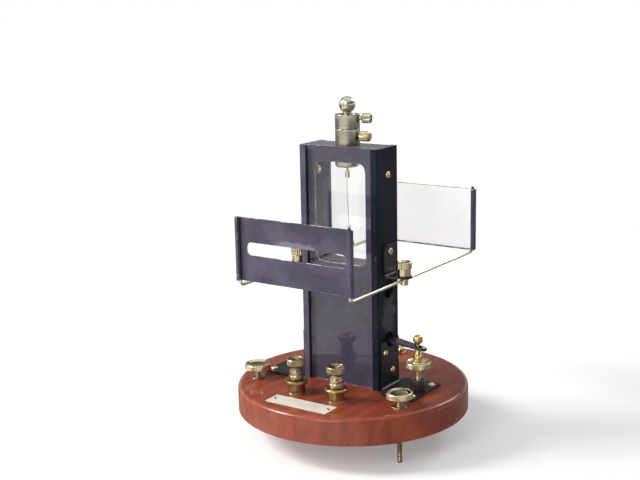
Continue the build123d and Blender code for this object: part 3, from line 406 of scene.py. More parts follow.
class Effects:
    """Shader groups that more than one finish uses, each built once."""

    def __init__(self) -> None:
        """Builds every group."""
        self.blotches = self.build_blotches()
        self.hairlines = self.build_hairlines()
        self.lathe = self.build_lathe()
        self.orange_peel = self.build_orange_peel()

    @staticmethod
    def start(name: str, takes: dict[str, tuple[Socket, object]],
              gives: dict[str, Socket]) -> tuple[Graph, bpy.types.NodeTree]:
        """Makes an empty group with its sockets.

        Args:
            name: The group's name.
            takes: Input names with their kind and first value.
            gives: Output names with their kind.

        Returns:
            The graph helper and the group.
        """
        tree = bpy.data.node_groups.new(name, "ShaderNodeTree")
        for label, (kind, value) in takes.items():
            entry = tree.interface.new_socket(label, in_out="INPUT", socket_type=kind.value)
            entry.default_value = value
        for label, kind in gives.items():
            tree.interface.new_socket(label, in_out="OUTPUT", socket_type=kind.value)
        return Graph(tree), tree

    @staticmethod
    def ends(tree: bpy.types.NodeTree) -> tuple[bpy.types.Node, bpy.types.Node]:
        """Returns the group's input and output nodes."""
        return tree.nodes.new("NodeGroupInput"), tree.nodes.new("NodeGroupOutput")

    def build_blotches(self) -> bpy.types.NodeTree:
        """Soft patches between two colours, such as tarnish or uneven stain."""
        takes = {"Clean": (Socket.COLOUR, (1, 1, 1, 1)), "Dull": (Socket.COLOUR, (0, 0, 0, 1)),
                 "Scale": (Socket.NUMBER, 60.0), "Amount": (Socket.NUMBER, 0.5)}
        graph, tree = self.start("blotches", takes, {"Color": Socket.COLOUR, "Mask": Socket.NUMBER})
        entry, leave = self.ends(tree)
        broad = graph.noise(entry.outputs["Scale"], 4.0, rough=0.6)
        mask = graph.math("MULTIPLY", graph.ramp(broad, 0.38, 0.66), entry.outputs["Amount"])
        colour = graph.mix(mask, entry.outputs["Clean"], entry.outputs["Dull"])
        tree.links.new(colour, leave.inputs["Color"])
        tree.links.new(mask, leave.inputs["Mask"])
        return tree

    def build_hairlines(self) -> bpy.types.NodeTree:
        """Fine scratches in two directions, as a mask."""
        takes = {"Scale": (Socket.NUMBER, 90.0), "Amount": (Socket.NUMBER, 0.5)}
        graph, tree = self.start("hairlines", takes, {"Mask": Socket.NUMBER})
        entry, leave = self.ends(tree)
        masks = []
        for turn, stretch in (((0.3, 0.5, 0.6), (14, 1, 1)), ((0.9, 0.2, 2.0), (1, 18, 1))):
            lines = graph.noise(entry.outputs["Scale"], 2.0, graph.place(stretch, turn))
            patch = graph.noise(24.0, 2.0, graph.place((1, 1, 1), turn, (turn[2], 0, 0)))
            thin = graph.ramp(lines, 0.66, 0.72)
            masks.append(graph.math("MULTIPLY", thin, graph.ramp(patch, 0.5, 0.66)))
        both = graph.math("MAXIMUM", *masks)
        tree.links.new(graph.math("MULTIPLY", both, entry.outputs["Amount"]), leave.inputs["Mask"])
        return tree

    def build_lathe(self) -> bpy.types.NodeTree:
        """Turning lines round the object's upright axis, as a height and a tone."""
        takes = {"Lines": (Socket.NUMBER, 2600.0)}
        graph, tree = self.start("lathe_lines", takes, {"Height": Socket.NUMBER, "Tone": Socket.NUMBER})
        entry, leave = self.ends(tree)
        parts = graph.add("SeparateXYZ", Vector=graph.add("TexCoord").outputs["Object"]).outputs
        reach = graph.length(parts[0], parts[1])
        where = graph.add("CombineXYZ", X=reach, Z=parts[2]).outputs[0]
        fine = graph.noise(entry.outputs["Lines"], 2.0, where)
        broad = graph.noise(700.0, 2.0, where)
        tree.links.new(fine, leave.inputs["Height"])
        tree.links.new(graph.weighted((fine, broad), (0.5, 0.5)), leave.inputs["Tone"])
        return tree

    def build_orange_peel(self) -> bpy.types.NodeTree:
        """Slight waviness of a sprayed or brushed coat, as a height."""
        takes = {"Scale": (Socket.NUMBER, 500.0)}
        graph, tree = self.start("orange_peel", takes, {"Height": Socket.NUMBER})
        entry, leave = self.ends(tree)
        tree.links.new(graph.noise(entry.outputs["Scale"], 2.0), leave.inputs["Height"])
        return tree


EFFECTS = Effects()


def use(graph: Graph, group: bpy.types.NodeTree, **inputs: object) -> bpy.types.Node:
    """Places a shared group in a material."""
    return graph.add("Group", {"node_tree": group}, **inputs)


Colour = tuple[float, float, float, float]


@dataclass(frozen=True)
class Finish:
    """A finish by name; each kind dresses its own material."""

    name: str

    def dress(self, graph: Graph, shader: bpy.types.Node) -> None:
        """Wires the shader's inputs."""
        raise NotImplementedError

    def material(self) -> bpy.types.Material:
        """Returns this finish's material, built once."""
        found = bpy.data.materials.get(self.name)
        if found:
            return found
        made = bpy.data.materials.new(self.name)
        made.use_nodes = True
        graph = Graph(made.node_tree)
        shader = graph.add("BsdfPrincipled")
        end = graph.add("OutputMaterial")
        graph.tree.links.new(shader.outputs[0], end.inputs[0])
        self.dress(graph, shader)
        return made

    @staticmethod
    def bump(graph: Graph, shader: bpy.types.Node, height: object, distance: float) -> None:
        """Feeds a height in metres to the shader's normal."""
        node = graph.add("Bump", Height=height, Distance=distance, Strength=1.0)
        graph.tree.links.new(node.outputs[0], shader.inputs["Normal"])

    @staticmethod
    def feed(graph: Graph, shader: bpy.types.Node, **sockets: object) -> None:
        """Sets or links several of the shader's inputs."""
        for key, value in sockets.items():
            graph.put(shader.inputs[key.replace("_", " ")], value)


@dataclass(frozen=True)
class TurnedMetal(Finish):
    """Turned and lacquered brass or bronze, darker where the lacquer has gone."""

    clean: Colour
    dull: Colour
    amount: float = 0.5
    gloss: float = 0.16
    worn: float = 0.36
    scale: float = 90.0
    line_depth: float = 0.000012

    def dress(self, graph: Graph, shader: bpy.types.Node) -> None:
        """Tarnish over turning lines."""
        tone = use(graph, EFFECTS.blotches, Clean=self.clean, Dull=self.dull, Scale=self.scale,
                   Amount=self.amount)
        lines = use(graph, EFFECTS.lathe)
        shade = graph.ramp(lines.outputs["Tone"], 0.35, 0.65, 0.86, 1.06)
        grey = graph.add("CombineXYZ", X=shade, Y=shade, Z=shade).outputs[0]
        colour = graph.mix(1.0, tone.outputs["Color"], grey, "MULTIPLY")
        rough = graph.math("ADD", graph.ramp(tone.outputs["Mask"], 0.0, 0.8, self.gloss, self.worn),
                           graph.ramp(lines.outputs["Height"], 0.4, 0.7, 0.0, 0.07))
        self.feed(graph, shader, Base_Color=colour, Metallic=1.0, Roughness=rough)
        self.bump(graph, shader, lines.outputs["Height"], self.line_depth)


@dataclass(frozen=True)
class Lacquer(Finish):
    """Dark lacquer on sheet, with haze, fine scratches and, if asked, one rubbed patch."""

    base: Colour
    haze: Colour
    gloss: float = 0.26
    amount: float = 0.5
    scratch: Colour = (0.30, 0.27, 0.31, 1.0)
    scratches: float = 0.35
    scratch_scale: float = 110.0
    patch: tuple[float, float, float] | None = None
    patch_reach: tuple[float, float, float] = (60.0, 110.0, 70.0)
    shine: float = 0.34
    cloud_scale: float = 34.0
    grain_scale: float = 900.0
    peel_scale: float = 420.0
    peel_depth: float = 0.00002

    def dress(self, graph: Graph, shader: bpy.types.Node) -> None:
        """Haze in soft clouds, hairlines across it, and a faint orange peel."""
        cloud = use(graph, EFFECTS.blotches, Clean=self.base, Dull=self.haze, Scale=self.cloud_scale,
                    Amount=self.amount)
        fine = graph.noise(self.grain_scale, 3.0)
        colour = graph.mix(graph.ramp(fine, 0.35, 0.8, 0.0, 0.28), cloud.outputs["Color"], self.haze)
        mask = cloud.outputs["Mask"]
        if self.patch:
            local = graph.place(self.patch_reach, (0, 0, 0), self.patch)
            away = graph.add("VectorMath", {"operation": "LENGTH"}, in_0=local).outputs["Value"]
            ragged = graph.math("ADD", away, graph.ramp(graph.noise(160.0, 4.0), 0.2, 0.8, -0.35, 0.35))
            rubbed = graph.ramp(ragged, 1.05, 0.55, 0.0, 0.62)
            colour = graph.mix(rubbed, colour, self.scratch)
            mask = graph.math("MAXIMUM", mask, rubbed)
        lines = use(graph, EFFECTS.hairlines, Scale=self.scratch_scale, Amount=self.scratches)
        colour = graph.mix(lines.outputs["Mask"], colour, self.scratch)
        rough = graph.math("ADD", graph.ramp(mask, 0.0, 0.9, self.gloss, self.gloss + 0.2),
                           graph.ramp(fine, 0.4, 0.8, 0.0, 0.08))
        self.feed(graph, shader, Base_Color=colour, Metallic=0.0, Roughness=rough,
                  Specular_IOR_Level=self.shine)
        peel = use(graph, EFFECTS.orange_peel, Scale=self.peel_scale)
        self.bump(graph, shader, peel.outputs["Height"], self.peel_depth)


@dataclass(frozen=True)
class WornEdge(Finish):
    """Edge of a lacquered sheet where the bare metal shows in places."""

    lacquer: Colour
    bare: Colour
    share: float = 0.5

    def dress(self, graph: Graph, shader: bpy.types.Node) -> None:
        """Bare metal in broken runs along the edge."""
        runs = graph.noise(220.0, 4.0, rough=0.7)
        mask = graph.ramp(runs, 0.62 - 0.2 * self.share, 0.72 - 0.2 * self.share)
        self.feed(graph, shader, Base_Color=graph.mix(mask, self.lacquer, self.bare),
                  Metallic=mask, Roughness=graph.ramp(runs, 0.3, 0.7, 0.24, 0.42))


@dataclass(frozen=True)
class Mahogany(Finish):
    """Turned red-brown wood under varnish.

    A stretch is how fast a pattern changes along x, y and z, least along the grain. A cut is the
    pair of noise values between which a pattern fades in.
    """

    light: Colour
    dark: Colour
    pore: Colour
    streak: Colour
    grain_turn: tuple[float, float, float] = (0.0, 0.35, 0.5)
    layers_per_metre: float = 95.0
    layer_bend: float = 5.5
    coat: float = 0.35
    pore_depth: float = 0.00004
    layer_stretch: tuple[float, float, float] = (1.0, 0.10, 0.55)
    figure_stretch: tuple[float, float, float] = (5.0, 0.7, 1.6)
    fibre_stretch: tuple[float, float, float] = (6.0, 0.35, 0.9)
    pore_stretch: tuple[float, float, float] = (3.0, 0.16, 0.5)
    tone_cut: tuple[float, float] = (0.32, 0.82)
    streak_cut: tuple[float, float] = (0.60, 0.78)
    pore_cut: tuple[float, float] = (0.60, 0.70)
    varnish_rough: tuple[float, float] = (0.26, 0.40)

    def dress(self, graph: Graph, shader: bpy.types.Node) -> None:
        """Slanting layers bent by noise, with short pores along the grain and a varnish coat."""
        lean = graph.place(self.layer_stretch, self.grain_turn)
        bend = graph.noise(16.0, 3.0, lean, twist=0.6)
        parts = graph.add("SeparateXYZ", Vector=lean).outputs
        layer = graph.weighted((parts[0], bend), (self.layers_per_metre, self.layer_bend))
        swing = graph.math("SINE", graph.math("MULTIPLY", layer, 2 * math.pi))
        wave = graph.math("ADD", graph.math("MULTIPLY", swing, 0.5), 0.5)
        figure = graph.noise(9.0, 5.0, graph.place(self.figure_stretch, self.grain_turn), rough=0.65)
        fibre = graph.noise(150.0, 4.0, graph.place(self.fibre_stretch, self.grain_turn), rough=0.7)
        tone = graph.math("ADD", graph.math("MULTIPLY", wave, 0.22),
                          graph.weighted((figure, fibre), (0.5, 0.42)))
        colour = graph.mix(graph.ramp(tone, *self.tone_cut), self.dark, self.light)
        colour = graph.mix(graph.ramp(figure, *self.streak_cut, 0.0, 0.5), colour, self.streak)
        pores = graph.noise(520.0, 2.0, graph.place(self.pore_stretch, self.grain_turn))
        colour = graph.mix(graph.ramp(pores, *self.pore_cut, 0.0, 0.55), colour, self.pore)
        scuffs = use(graph, EFFECTS.hairlines, Scale=70.0, Amount=0.25)
        rough = graph.math("ADD", graph.ramp(fibre, 0.3, 0.8, *self.varnish_rough), scuffs.outputs["Mask"])
        self.feed(graph, shader, Base_Color=colour, Roughness=rough, Coat_Weight=self.coat,
                  Coat_Roughness=0.08, Specular_IOR_Level=0.35)
        relief = graph.math("ADD", graph.ramp(pores, *self.pore_cut, 0.0, -0.6),
                            graph.math("MULTIPLY", fibre, 0.35))
        self.bump(graph, shader, relief, self.pore_depth)


@dataclass(frozen=True)
class Pane(Finish):
    """Plain sheet glass."""

    tint: Colour

    def dress(self, graph: Graph, shader: bpy.types.Node) -> None:
        """Clear glass with a little dust on it."""
        dust = graph.ramp(graph.noise(70.0, 4.0), 0.5, 0.8, 0.0, 0.05)
        self.feed(graph, shader, Base_Color=self.tint, Metallic=0.0, Transmission_Weight=1.0,
                  IOR=1.5, Roughness=dust)


@dataclass(frozen=True)
class Plain(Finish):
    """Ebonite, card or soft iron: one tone with fine mottling."""

    base: Colour
    other: Colour
    rough: float
    metallic: float = 0.0
    scale: float = 260.0
    coat: float = 0.0
    relief: float = 0.00001

    def dress(self, graph: Graph, shader: bpy.types.Node) -> None:
        """Mottling between two tones and a faint relief."""
        tone = use(graph, EFFECTS.blotches, Clean=self.base, Dull=self.other, Scale=self.scale,
                   Amount=0.8)
        grain = graph.noise(1500.0, 2.0)
        self.feed(graph, shader, Base_Color=tone.outputs["Color"], Metallic=self.metallic,
                  Roughness=graph.ramp(grain, 0.3, 0.7, self.rough, self.rough + 0.08),
                  Coat_Weight=self.coat)
        self.bump(graph, shader, grain, self.relief)


@dataclass(frozen=True)
class ShadedRod(TurnedMetal):
    """Brass wire with painted shade, near black, up its runs inside the holders; its tips stay bright."""

    painted_shade: Colour = (0.012, 0.012, 0.016, 1.0)
    shade_from: float = 0.0985
    shade_to: float = 0.1425
    ragged: float = 0.0004

    def dress(self, graph: Graph, shader: bpy.types.Node) -> None:
        """Brass, then painted shade over the upright runs."""
        super().dress(graph, shader)
        height = graph.add("SeparateXYZ", Vector=graph.place()).outputs[2]
        stray = graph.ramp(graph.noise(900.0, 3.0), 0.3, 0.7, -self.ragged, self.ragged)
        edge = graph.math("ADD", height, stray)
        # Painted shade: near black from shade_from up to shade_to, the runs inside the holders' channels,
        # with no metal there.
        shaded = graph.math("MULTIPLY", graph.ramp(edge, self.shade_from, self.shade_from + 0.0006),
                             graph.ramp(edge, self.shade_to + 0.0003, self.shade_to))
        brass = shader.inputs["Base Color"].links[0].from_socket
        self.feed(graph, shader, Base_Color=graph.mix(shaded, brass, self.painted_shade),
                  Metallic=graph.math("SUBTRACT", 1.0, shaded))


@dataclass(frozen=True)
class WoundWire(Finish):
    """Enamelled wire wound side by side."""

    base: Colour
    groove_shade: Colour
    turns_per_metre: float = 3300.0
    ridge_depth: float = 0.00012

    def dress(self, graph: Graph, shader: bpy.types.Node) -> None:
        """Round turns stacked along y, which is the depth of the coil."""
        parts = graph.add("SeparateXYZ", Vector=graph.place()).outputs
        turn = graph.math("SINE", graph.math("MULTIPLY", parts[1], self.turns_per_metre * math.pi))
        ridge = graph.math("ABSOLUTE", turn)
        # Painted shade: the colour goes to groove_shade where neighbouring turns meet.
        self.feed(graph, shader, Base_Color=graph.mix(ridge, self.groove_shade, self.base), Metallic=0.8,
                  Roughness=0.32)
        self.bump(graph, shader, ridge, self.ridge_depth)


BLACK: Colour = (0.016, 0.014, 0.018, 1.0)
TOWER: Colour = (0.060, 0.052, 0.088, 1.0)
HAZE: Colour = (0.125, 0.112, 0.168, 1.0)
PATCH: Colour = (0.26, 0.24, 0.29, 1.0)
BARE: Colour = (0.62, 0.56, 0.50, 1.0)
TOWER_LACQUER = Lacquer("tower_lacquer_worn", TOWER, HAZE)
COVER_LACQUER = Lacquer("cover_lacquer_clean", (0.095, 0.083, 0.132, 1.0), (0.150, 0.132, 0.190, 1.0),
                        gloss=0.2, amount=0.5, scratches=0.15)
# Right channel: the tower's lacquer darkened as painted shade for the side turned away from the key lamp;
# the grey patch between its holes is real wear.
SHADED_WALL_LACQUER = Lacquer("right_wall_lacquer_shade_and_wear", (0.008, 0.011, 0.020, 1.0), (0.022, 0.027, 0.044, 1.0),
                       gloss=0.28, scratch=(0.10, 0.10, 0.11, 1.0), patch=(0.0308, -0.0015, 0.069),
                       shine=0.1)
HOLDER_LACQUER = Lacquer("holder_lacquer_rubbed", (0.044, 0.038, 0.066, 1.0), (0.102, 0.088, 0.138, 1.0),
                         gloss=0.30, amount=0.9, scratch=PATCH, scratches=0.8, scratch_scale=48.0,
                         patch=(0.0015, -0.067, 0.1252), patch_reach=(52.0, 80.0, 300.0))
BLACK_LACQUER = Lacquer("black_lacquer_gloss", BLACK, (0.040, 0.036, 0.044, 1.0), gloss=0.16,
                        amount=0.3, scratches=0.25, shine=0.4)
TOWER_EDGE = WornEdge("tower_lacquer_edge", (0.09, 0.075, 0.10, 1.0), BARE, 0.75)
BLACK_EDGE = WornEdge("black_lacquer_edge", (0.03, 0.027, 0.033, 1.0), BARE, 0.35)
GOLD = TurnedMetal("brass_gold", (0.80, 0.58, 0.26, 1.0), (0.36, 0.24, 0.11, 1.0), 0.45)
PALE_BRASS = TurnedMetal("brass_pale", (0.82, 0.70, 0.44, 1.0), (0.40, 0.32, 0.19, 1.0), 0.5)
BROWN_BRASS = TurnedMetal("brass_browned", (0.52, 0.42, 0.27, 1.0), (0.20, 0.14, 0.08, 1.0), 0.65,
                          gloss=0.22)
BRONZE = TurnedMetal("collar_bronze_dark", (0.50, 0.45, 0.36, 1.0), (0.25, 0.21, 0.15, 1.0), 0.55,
                     gloss=0.2, scale=120.0)
WIRE = ShadedRod("wire_brass_pale", (0.86, 0.82, 0.66, 1.0), (0.58, 0.50, 0.32, 1.0), 0.5, gloss=0.26)
STRIP_BRONZE = TurnedMetal("strip_bronze_dark", (0.16, 0.09, 0.08, 1.0), (0.08, 0.05, 0.06, 1.0), 0.5,
                           gloss=0.3)
OLIVE_BRASS = TurnedMetal("brass_olive", (0.46, 0.43, 0.31, 1.0), (0.19, 0.18, 0.13, 1.0), 0.6, gloss=0.2)
BALL_BRASS = TurnedMetal("brass_ball_greenish", (0.60, 0.60, 0.43, 1.0), (0.27, 0.31, 0.23, 1.0), 0.75,
                         gloss=0.12, scale=130.0)
COLUMN_BRONZE = TurnedMetal("terminal_bronze", (0.46, 0.33, 0.15, 1.0), (0.16, 0.10, 0.05, 1.0), 0.7,
                            gloss=0.2)
COPPER = TurnedMetal("copper_browned", (0.80, 0.36, 0.22, 1.0), (0.42, 0.16, 0.09, 1.0), 0.5)
MAHOGANY = Mahogany("mahogany_varnished", (0.33, 0.062, 0.021, 1.0), (0.20, 0.034, 0.013, 1.0),
                    (0.13, 0.022, 0.011, 1.0), (0.42, 0.120, 0.046, 1.0))
GLASS = Pane("glass_clear", (0.97, 0.98, 0.975, 1.0))
EBONITE = Plain("ebonite_polished", (0.018, 0.014, 0.013, 1.0), (0.035, 0.026, 0.022, 1.0), 0.18, coat=0.3)
CARD = Plain("card_white", (0.91, 0.92, 0.93, 1.0), (0.88, 0.89, 0.89, 1.0), 0.62, scale=60.0,
             relief=0.00003)
IRON = Plain("iron_machined", (0.30, 0.29, 0.28, 1.0), (0.17, 0.15, 0.14, 1.0), 0.3, metallic=1.0)
MAGNET = Plain("magnet_steel_dark", (0.085, 0.080, 0.085, 1.0), (0.14, 0.12, 0.11, 1.0), 0.34,
               metallic=0.85)
SILVER = Plain("mirror_silver", (0.88, 0.90, 0.90, 1.0), (0.82, 0.84, 0.84, 1.0), 0.02, metallic=1.0,
               relief=0.0)
IVORY = Plain("nameplate_ivory", (0.84, 0.80, 0.71, 1.0), (0.74, 0.68, 0.56, 1.0), 0.3, metallic=0.0,
              scale=120.0, coat=0.3)
# The coil's second colour is painted shade for the grooves between the turns.
COIL_WIRE = WoundWire("coil_wire", (0.55, 0.25, 0.12, 1.0), (0.10, 0.04, 0.02, 1.0))


@dataclass
class Piece:
    """One visible piece: its surfaces, finish, body and the node that it stands for."""

    name: str
    shapes: Sequence[Shape]
    finish: Finish
    slot: str
    body: str
    nodes: Sequence[str] = ()
    cuts: Sequence[Shape] = ()
    edge: float = 0.0
    edge_finish: Finish | None = None
    smooth: float = 38.0

    def make(self) -> bpy.types.Object:
        """Builds the object, hangs it on its body and reports it.

        Returns:
            The finished object, at the origin with its place in its mesh.
        """
        thing = raw_object(self.name, joined(self.shapes))
        cut_away(thing, self.cuts)
        thing.data.materials.clear()
        for finish in filter(None, (self.finish, self.edge_finish)):
            thing.data.materials.append(finish.material())
        if self.edge:
            self.round_edges(thing)
        mesh = thing.data
        mesh.shade_smooth()
        if not self.edge:
            mesh.set_sharp_from_angle(angle=math.radians(self.smooth))
        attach(thing, self.body)
        if self.nodes:
            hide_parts(*self.nodes)
        LOG.info("%s: %d faces on %s", self.name, len(mesh.polygons), self.body)
        return thing

    def round_edges(self, thing: bpy.types.Object) -> None:
        """Bevels the sharp edges and weights the normals by face area."""
        thing.data.shade_smooth()
        bevel = thing.modifiers.new("edge", "BEVEL")
        bevel.width = self.edge * MM
        bevel.segments = 2
        bevel.limit_method = "ANGLE"
        bevel.angle_limit = math.radians(self.smooth)
        bevel.material = 1 if self.edge_finish else -1
        thing.modifiers.new("normals", "WEIGHTED_NORMAL")
        mesh = evaluated_mesh(thing)
        thing.modifiers.clear()
        thing.data = mesh


SIDES = {"left": -1, "right": 1}


def node_box(node: str) -> tuple[np.ndarray, np.ndarray]:
    """Returns a node's lowest and highest corners in millimetres."""
    low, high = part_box(node)
    return np.array(low) / MM, np.array(high) / MM


def node_centre(node: str) -> np.ndarray:
    """Returns the middle of a node's box in millimetres."""
    low, high = node_box(node)
    return (low + high) / 2


def foot_of(node: str) -> np.ndarray:
    """Returns the foot of a node's upright axis: the middle of its box, at height zero."""
    return node_centre(node) * (1, 1, 0)


def turned_way(angle: float, first: np.ndarray, second: np.ndarray) -> np.ndarray:
    """Returns the direction cos(angle) first + sin(angle) second."""
    return math.cos(angle) * first + math.sin(angle) * second


def recoat(finish: Finish, *nodes: str) -> None:
    """Gives carried-over nodes a finish."""
    for node in nodes:
        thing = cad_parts[node]
        if thing.material_slots:
            for entry in thing.material_slots:
                entry.material = finish.material()
        else:
            thing.data.materials.append(finish.material())
        LOG.info("%s keeps its solid, in %s", node, finish.name)


def slotted_head(radius: float, height: float) -> Shape:
    """Domed screw head on the xy plane with a driver slot, its edge rounded like a quarter ellipse."""
    skirt, foot, half_slot = 0.12 * height, 0.96 * radius, 0.11 * radius
    angle = np.linspace(0, np.pi / 2, 9)
    dome = np.column_stack([radius * np.cos(angle), skirt + (height - skirt) * np.sin(angle)])
    head = raw_object("screw_head_pattern", turned(np.vstack([[foot, 0], dome]), 40))
    slot = slab((-2 * radius, -half_slot, height / 2), (2 * radius, half_slot, 2 * height))
    cut_away(head, [slot])
    shape = shape_of(head)
    bpy.data.objects.remove(head)
    return shape


@dataclass(frozen=True)
class Rim:
    """Edge of a knurled disc: broken corners, a flat land on top and the slope into its dish.

    The land ends and the slope ends at these distances in from the radius, and the slope goes down by
    drop. The roundings are those of the six corners in turn.
    """

    radius: float
    land: float
    slope: float
    drop: float
    roundings: tuple[float, ...]
    under: float = 0.5
    lower: float = 0.5
    upper: float = 0.5
    top_break: float = 0.4

    def points(self, low: float, high: float) -> list[tuple[float, float, float]]:
        """Returns radius, height and rounding at each corner, from the underside to the dish."""
        r = self.radius
        corners = ((r - self.under, low), (r, low + self.lower), (r, high - self.upper),
                   (r - self.top_break, high), (r - self.land, high), (r - self.slope, high - self.drop))
        return [(*corner, cut) for corner, cut in zip(corners, self.roundings)]

    def knurl(self, ridges: int, depth: float, low: float, high: float) -> Knurl:
        """Returns ridges that stop at the broken corners."""
        return Knurl(ridges, depth, low + self.lower, high - self.upper)


@dataclass
class Base:
    """Turned board, nameplate, back foot and the two levelling screws."""

    radius: float = 80.0
    top_round: float = 4.4
    bottom_round: float = 1.0
    bore_clearance: float = 0.05
    lift_bore_radius: float = 1.95
    lift_bore_floor: float = 4.0
    rod_radius: float = 1.8
    tip_radius: float = 1.6
    tip_face: float = 0.9
    tip_length: float = 2.0
    thread_start: float = 1.2
    thread_pitch: float = 0.7
    thread_depth: float = 0.22
    disc: Rim = Rim(8.75, 1.3, 2.6, 0.8, (0.1, 0.05, 0.05, 0.2, 0.3, 0.8))
    disc_thickness: float = 4.0
    disc_hollow: float = 0.95
    hub_radius: float = 3.4
    hub_flare: float = 4.4
    ridges: int = 84
    ridge_depth: float = 0.16
    bush_radius: float = 3.6
    bush_foot: float = 0.5
    flange_radius: float = 4.9
    flange_thickness: float = 0.8
    foot_sole: float = 4.4
    foot_heel: float = 5.0
    foot_waist: float = 3.0
    foot_shoulder: float = 6.0
    foot_flange: float = 1.5
    nut_shoulder: float = 1.3
    nameplate_corner: float = 0.6
    pin_radius: float = 1.2
    pin_sunk: float = 0.1
    pin_shoulder: float = 0.25

    def board(self) -> None:
        """Disc with a rounded top edge, bored for the bushes and the lifting screw."""
        low, high = (corner[2] for corner in node_box("base_board"))
        profile = rounded([(0, low, 0), (self.radius, low, self.bottom_round),
                           (self.radius, high, self.top_round), (0, high, 0)], 10)
        bores = [(foot_of(f"level_head_{side}"), self.bush_radius, low - 1) for side in SIDES]
        bores.append((foot_of("lift_boss"), self.lift_bore_radius, self.lift_bore_floor))
        cuts = [bar((x, y, start), (x, y, high + 1), r + self.bore_clearance, 32)
                for (x, y, _), r, start in bores]
        Piece("base_board_turned", [turned(profile, 256)], MAHOGANY, "mahogany", "stand",
              ["base_board"], cuts).make()

    def bushes(self) -> None:
        """Flanged bushes round the levelling screws."""
        top = node_box("base_board")[1][2]
        flange, bore = top + self.flange_thickness, self.rod_radius + self.bore_clearance
        profile = rounded([(bore, self.bush_foot, 0.1), (self.bush_radius, self.bush_foot, 0.1),
                           (self.bush_radius, top, 0), (self.flange_radius, top, 0.1),
                           (self.flange_radius, flange, 0.4), (bore, flange, 0.2)], closed=True)
        rings = [turned(profile, 48, bored=True).placed(foot_of(f"level_head_{side}")) for side in SIDES]
        Piece("level_bushes_turned", rings, BROWN_BRASS, "brass", "stand", ["level_bushes"]).make()

    def level_screw(self, side: str) -> None:
        """Threaded rod with a rounded tip, and its knurled, dished thumb disc."""
        rod_node, disc_node = f"level_rod_{side}", f"level_head_{side}"
        axis = foot_of(disc_node)
        low, high = (corner[2] for corner in node_box(rod_node))
        tip = soften([(0, 0), (self.tip_face, 0), (self.tip_radius, self.tip_radius - self.tip_face),
                      (self.tip_radius, self.tip_length), (0, self.tip_length)], 0.4)
        rod = threaded(self.rod_radius, low + self.thread_start, high, self.thread_pitch, self.thread_depth)
        Piece(f"{rod_node}_threaded", [turned(tip, 32).placed(axis + (0, 0, low)), rod.placed(axis)],
              BROWN_BRASS, "brass", rod_node, [rod_node]).make()
        low, high = (corner[2] for corner in node_box(disc_node))
        rim = high - self.disc_thickness
        profile = rounded([(0, low, 0), (self.hub_radius, low, 0.2), (self.hub_flare, rim, 0.3),
                           *self.disc.points(rim, high), (0, high - self.disc_hollow, 0)])
        knurl = self.disc.knurl(self.ridges, self.ridge_depth, rim, high)
        Piece(f"{disc_node}_knurled", [turned(profile, knurl=knurl).placed(axis)], PALE_BRASS, "brass",
              disc_node, [disc_node]).make()

    def back_foot(self) -> None:
        """Turned back foot under the board and its domed nut above."""
        sole, top = node_box("back_foot")[0][2], node_box("base_board")[1][2]
        axis = foot_of("back_foot")
        shoulder, flange = self.foot_shoulder, -self.foot_flange
        foot = rounded([(0, sole, 0), (self.foot_sole, sole, 0.3), (self.foot_heel, sole + 0.6, 0.4),
                        (self.foot_waist + 0.4, sole + 5, 2.5), (self.foot_waist, flange - 4, 2.0),
                        (shoulder - 1.4, flange - 0.9, 0.6), (shoulder, flange, 0.5),
                        (shoulder, 0, 0.2), (0, 0, 0)])
        Piece("back_foot_turned", [turned(foot, 64).placed(axis)], BROWN_BRASS, "brass", "stand",
              ["back_foot"]).make()
        nut_low, nut_high = node_box("back_foot_nut")
        reach, crown = (nut_high[0] - nut_low[0]) / 2, nut_high[2]
        dome = rounded([(0, top, 0), (reach, top, 0.2), (reach, top + self.nut_shoulder, 1.2),
                        (reach * 0.62, crown - 0.4, 1.6), (0, crown, 0)], 6)
        Piece("back_foot_nut_domed", [turned(dome, 48).placed(axis)], GOLD, "brass", "stand",
              ["back_foot_nut"]).make()

    def nameplate(self) -> None:
        """Bare thin plate with two round-head pins."""
        low, high = node_box("nameplate")
        outline = soften(rectangle(low[:2], high[:2]), self.nameplate_corner, closed=True)
        Piece("nameplate_bare", [prism(outline, low[2], high[2])], IVORY, "brass", "stand",
              ["nameplate"], edge=0.12).make()
        pins_low, pins_high = node_box("nameplate_pins")
        r, y, foot = self.pin_radius, node_centre("nameplate_pins")[1], high[2] - self.pin_sunk
        dome = rounded([(0, foot, 0), (r, foot, 0), (r, high[2] + self.pin_shoulder, 0.3),
                        (r * 0.6, pins_high[2], 0.5), (0, pins_high[2], 0)])
        pins = [turned(dome, 24).placed((x, y, 0)) for x in (pins_low[0] + r, pins_high[0] - r)]
        Piece("nameplate_pins_domed", pins, BROWN_BRASS, "brass", "stand", ["nameplate_pins"]).make()

    def build(self) -> None:
        """Builds the whole base."""
        self.board()
        self.bushes()
        for side in SIDES:
            self.level_screw(side)
        self.back_foot()
        self.nameplate()


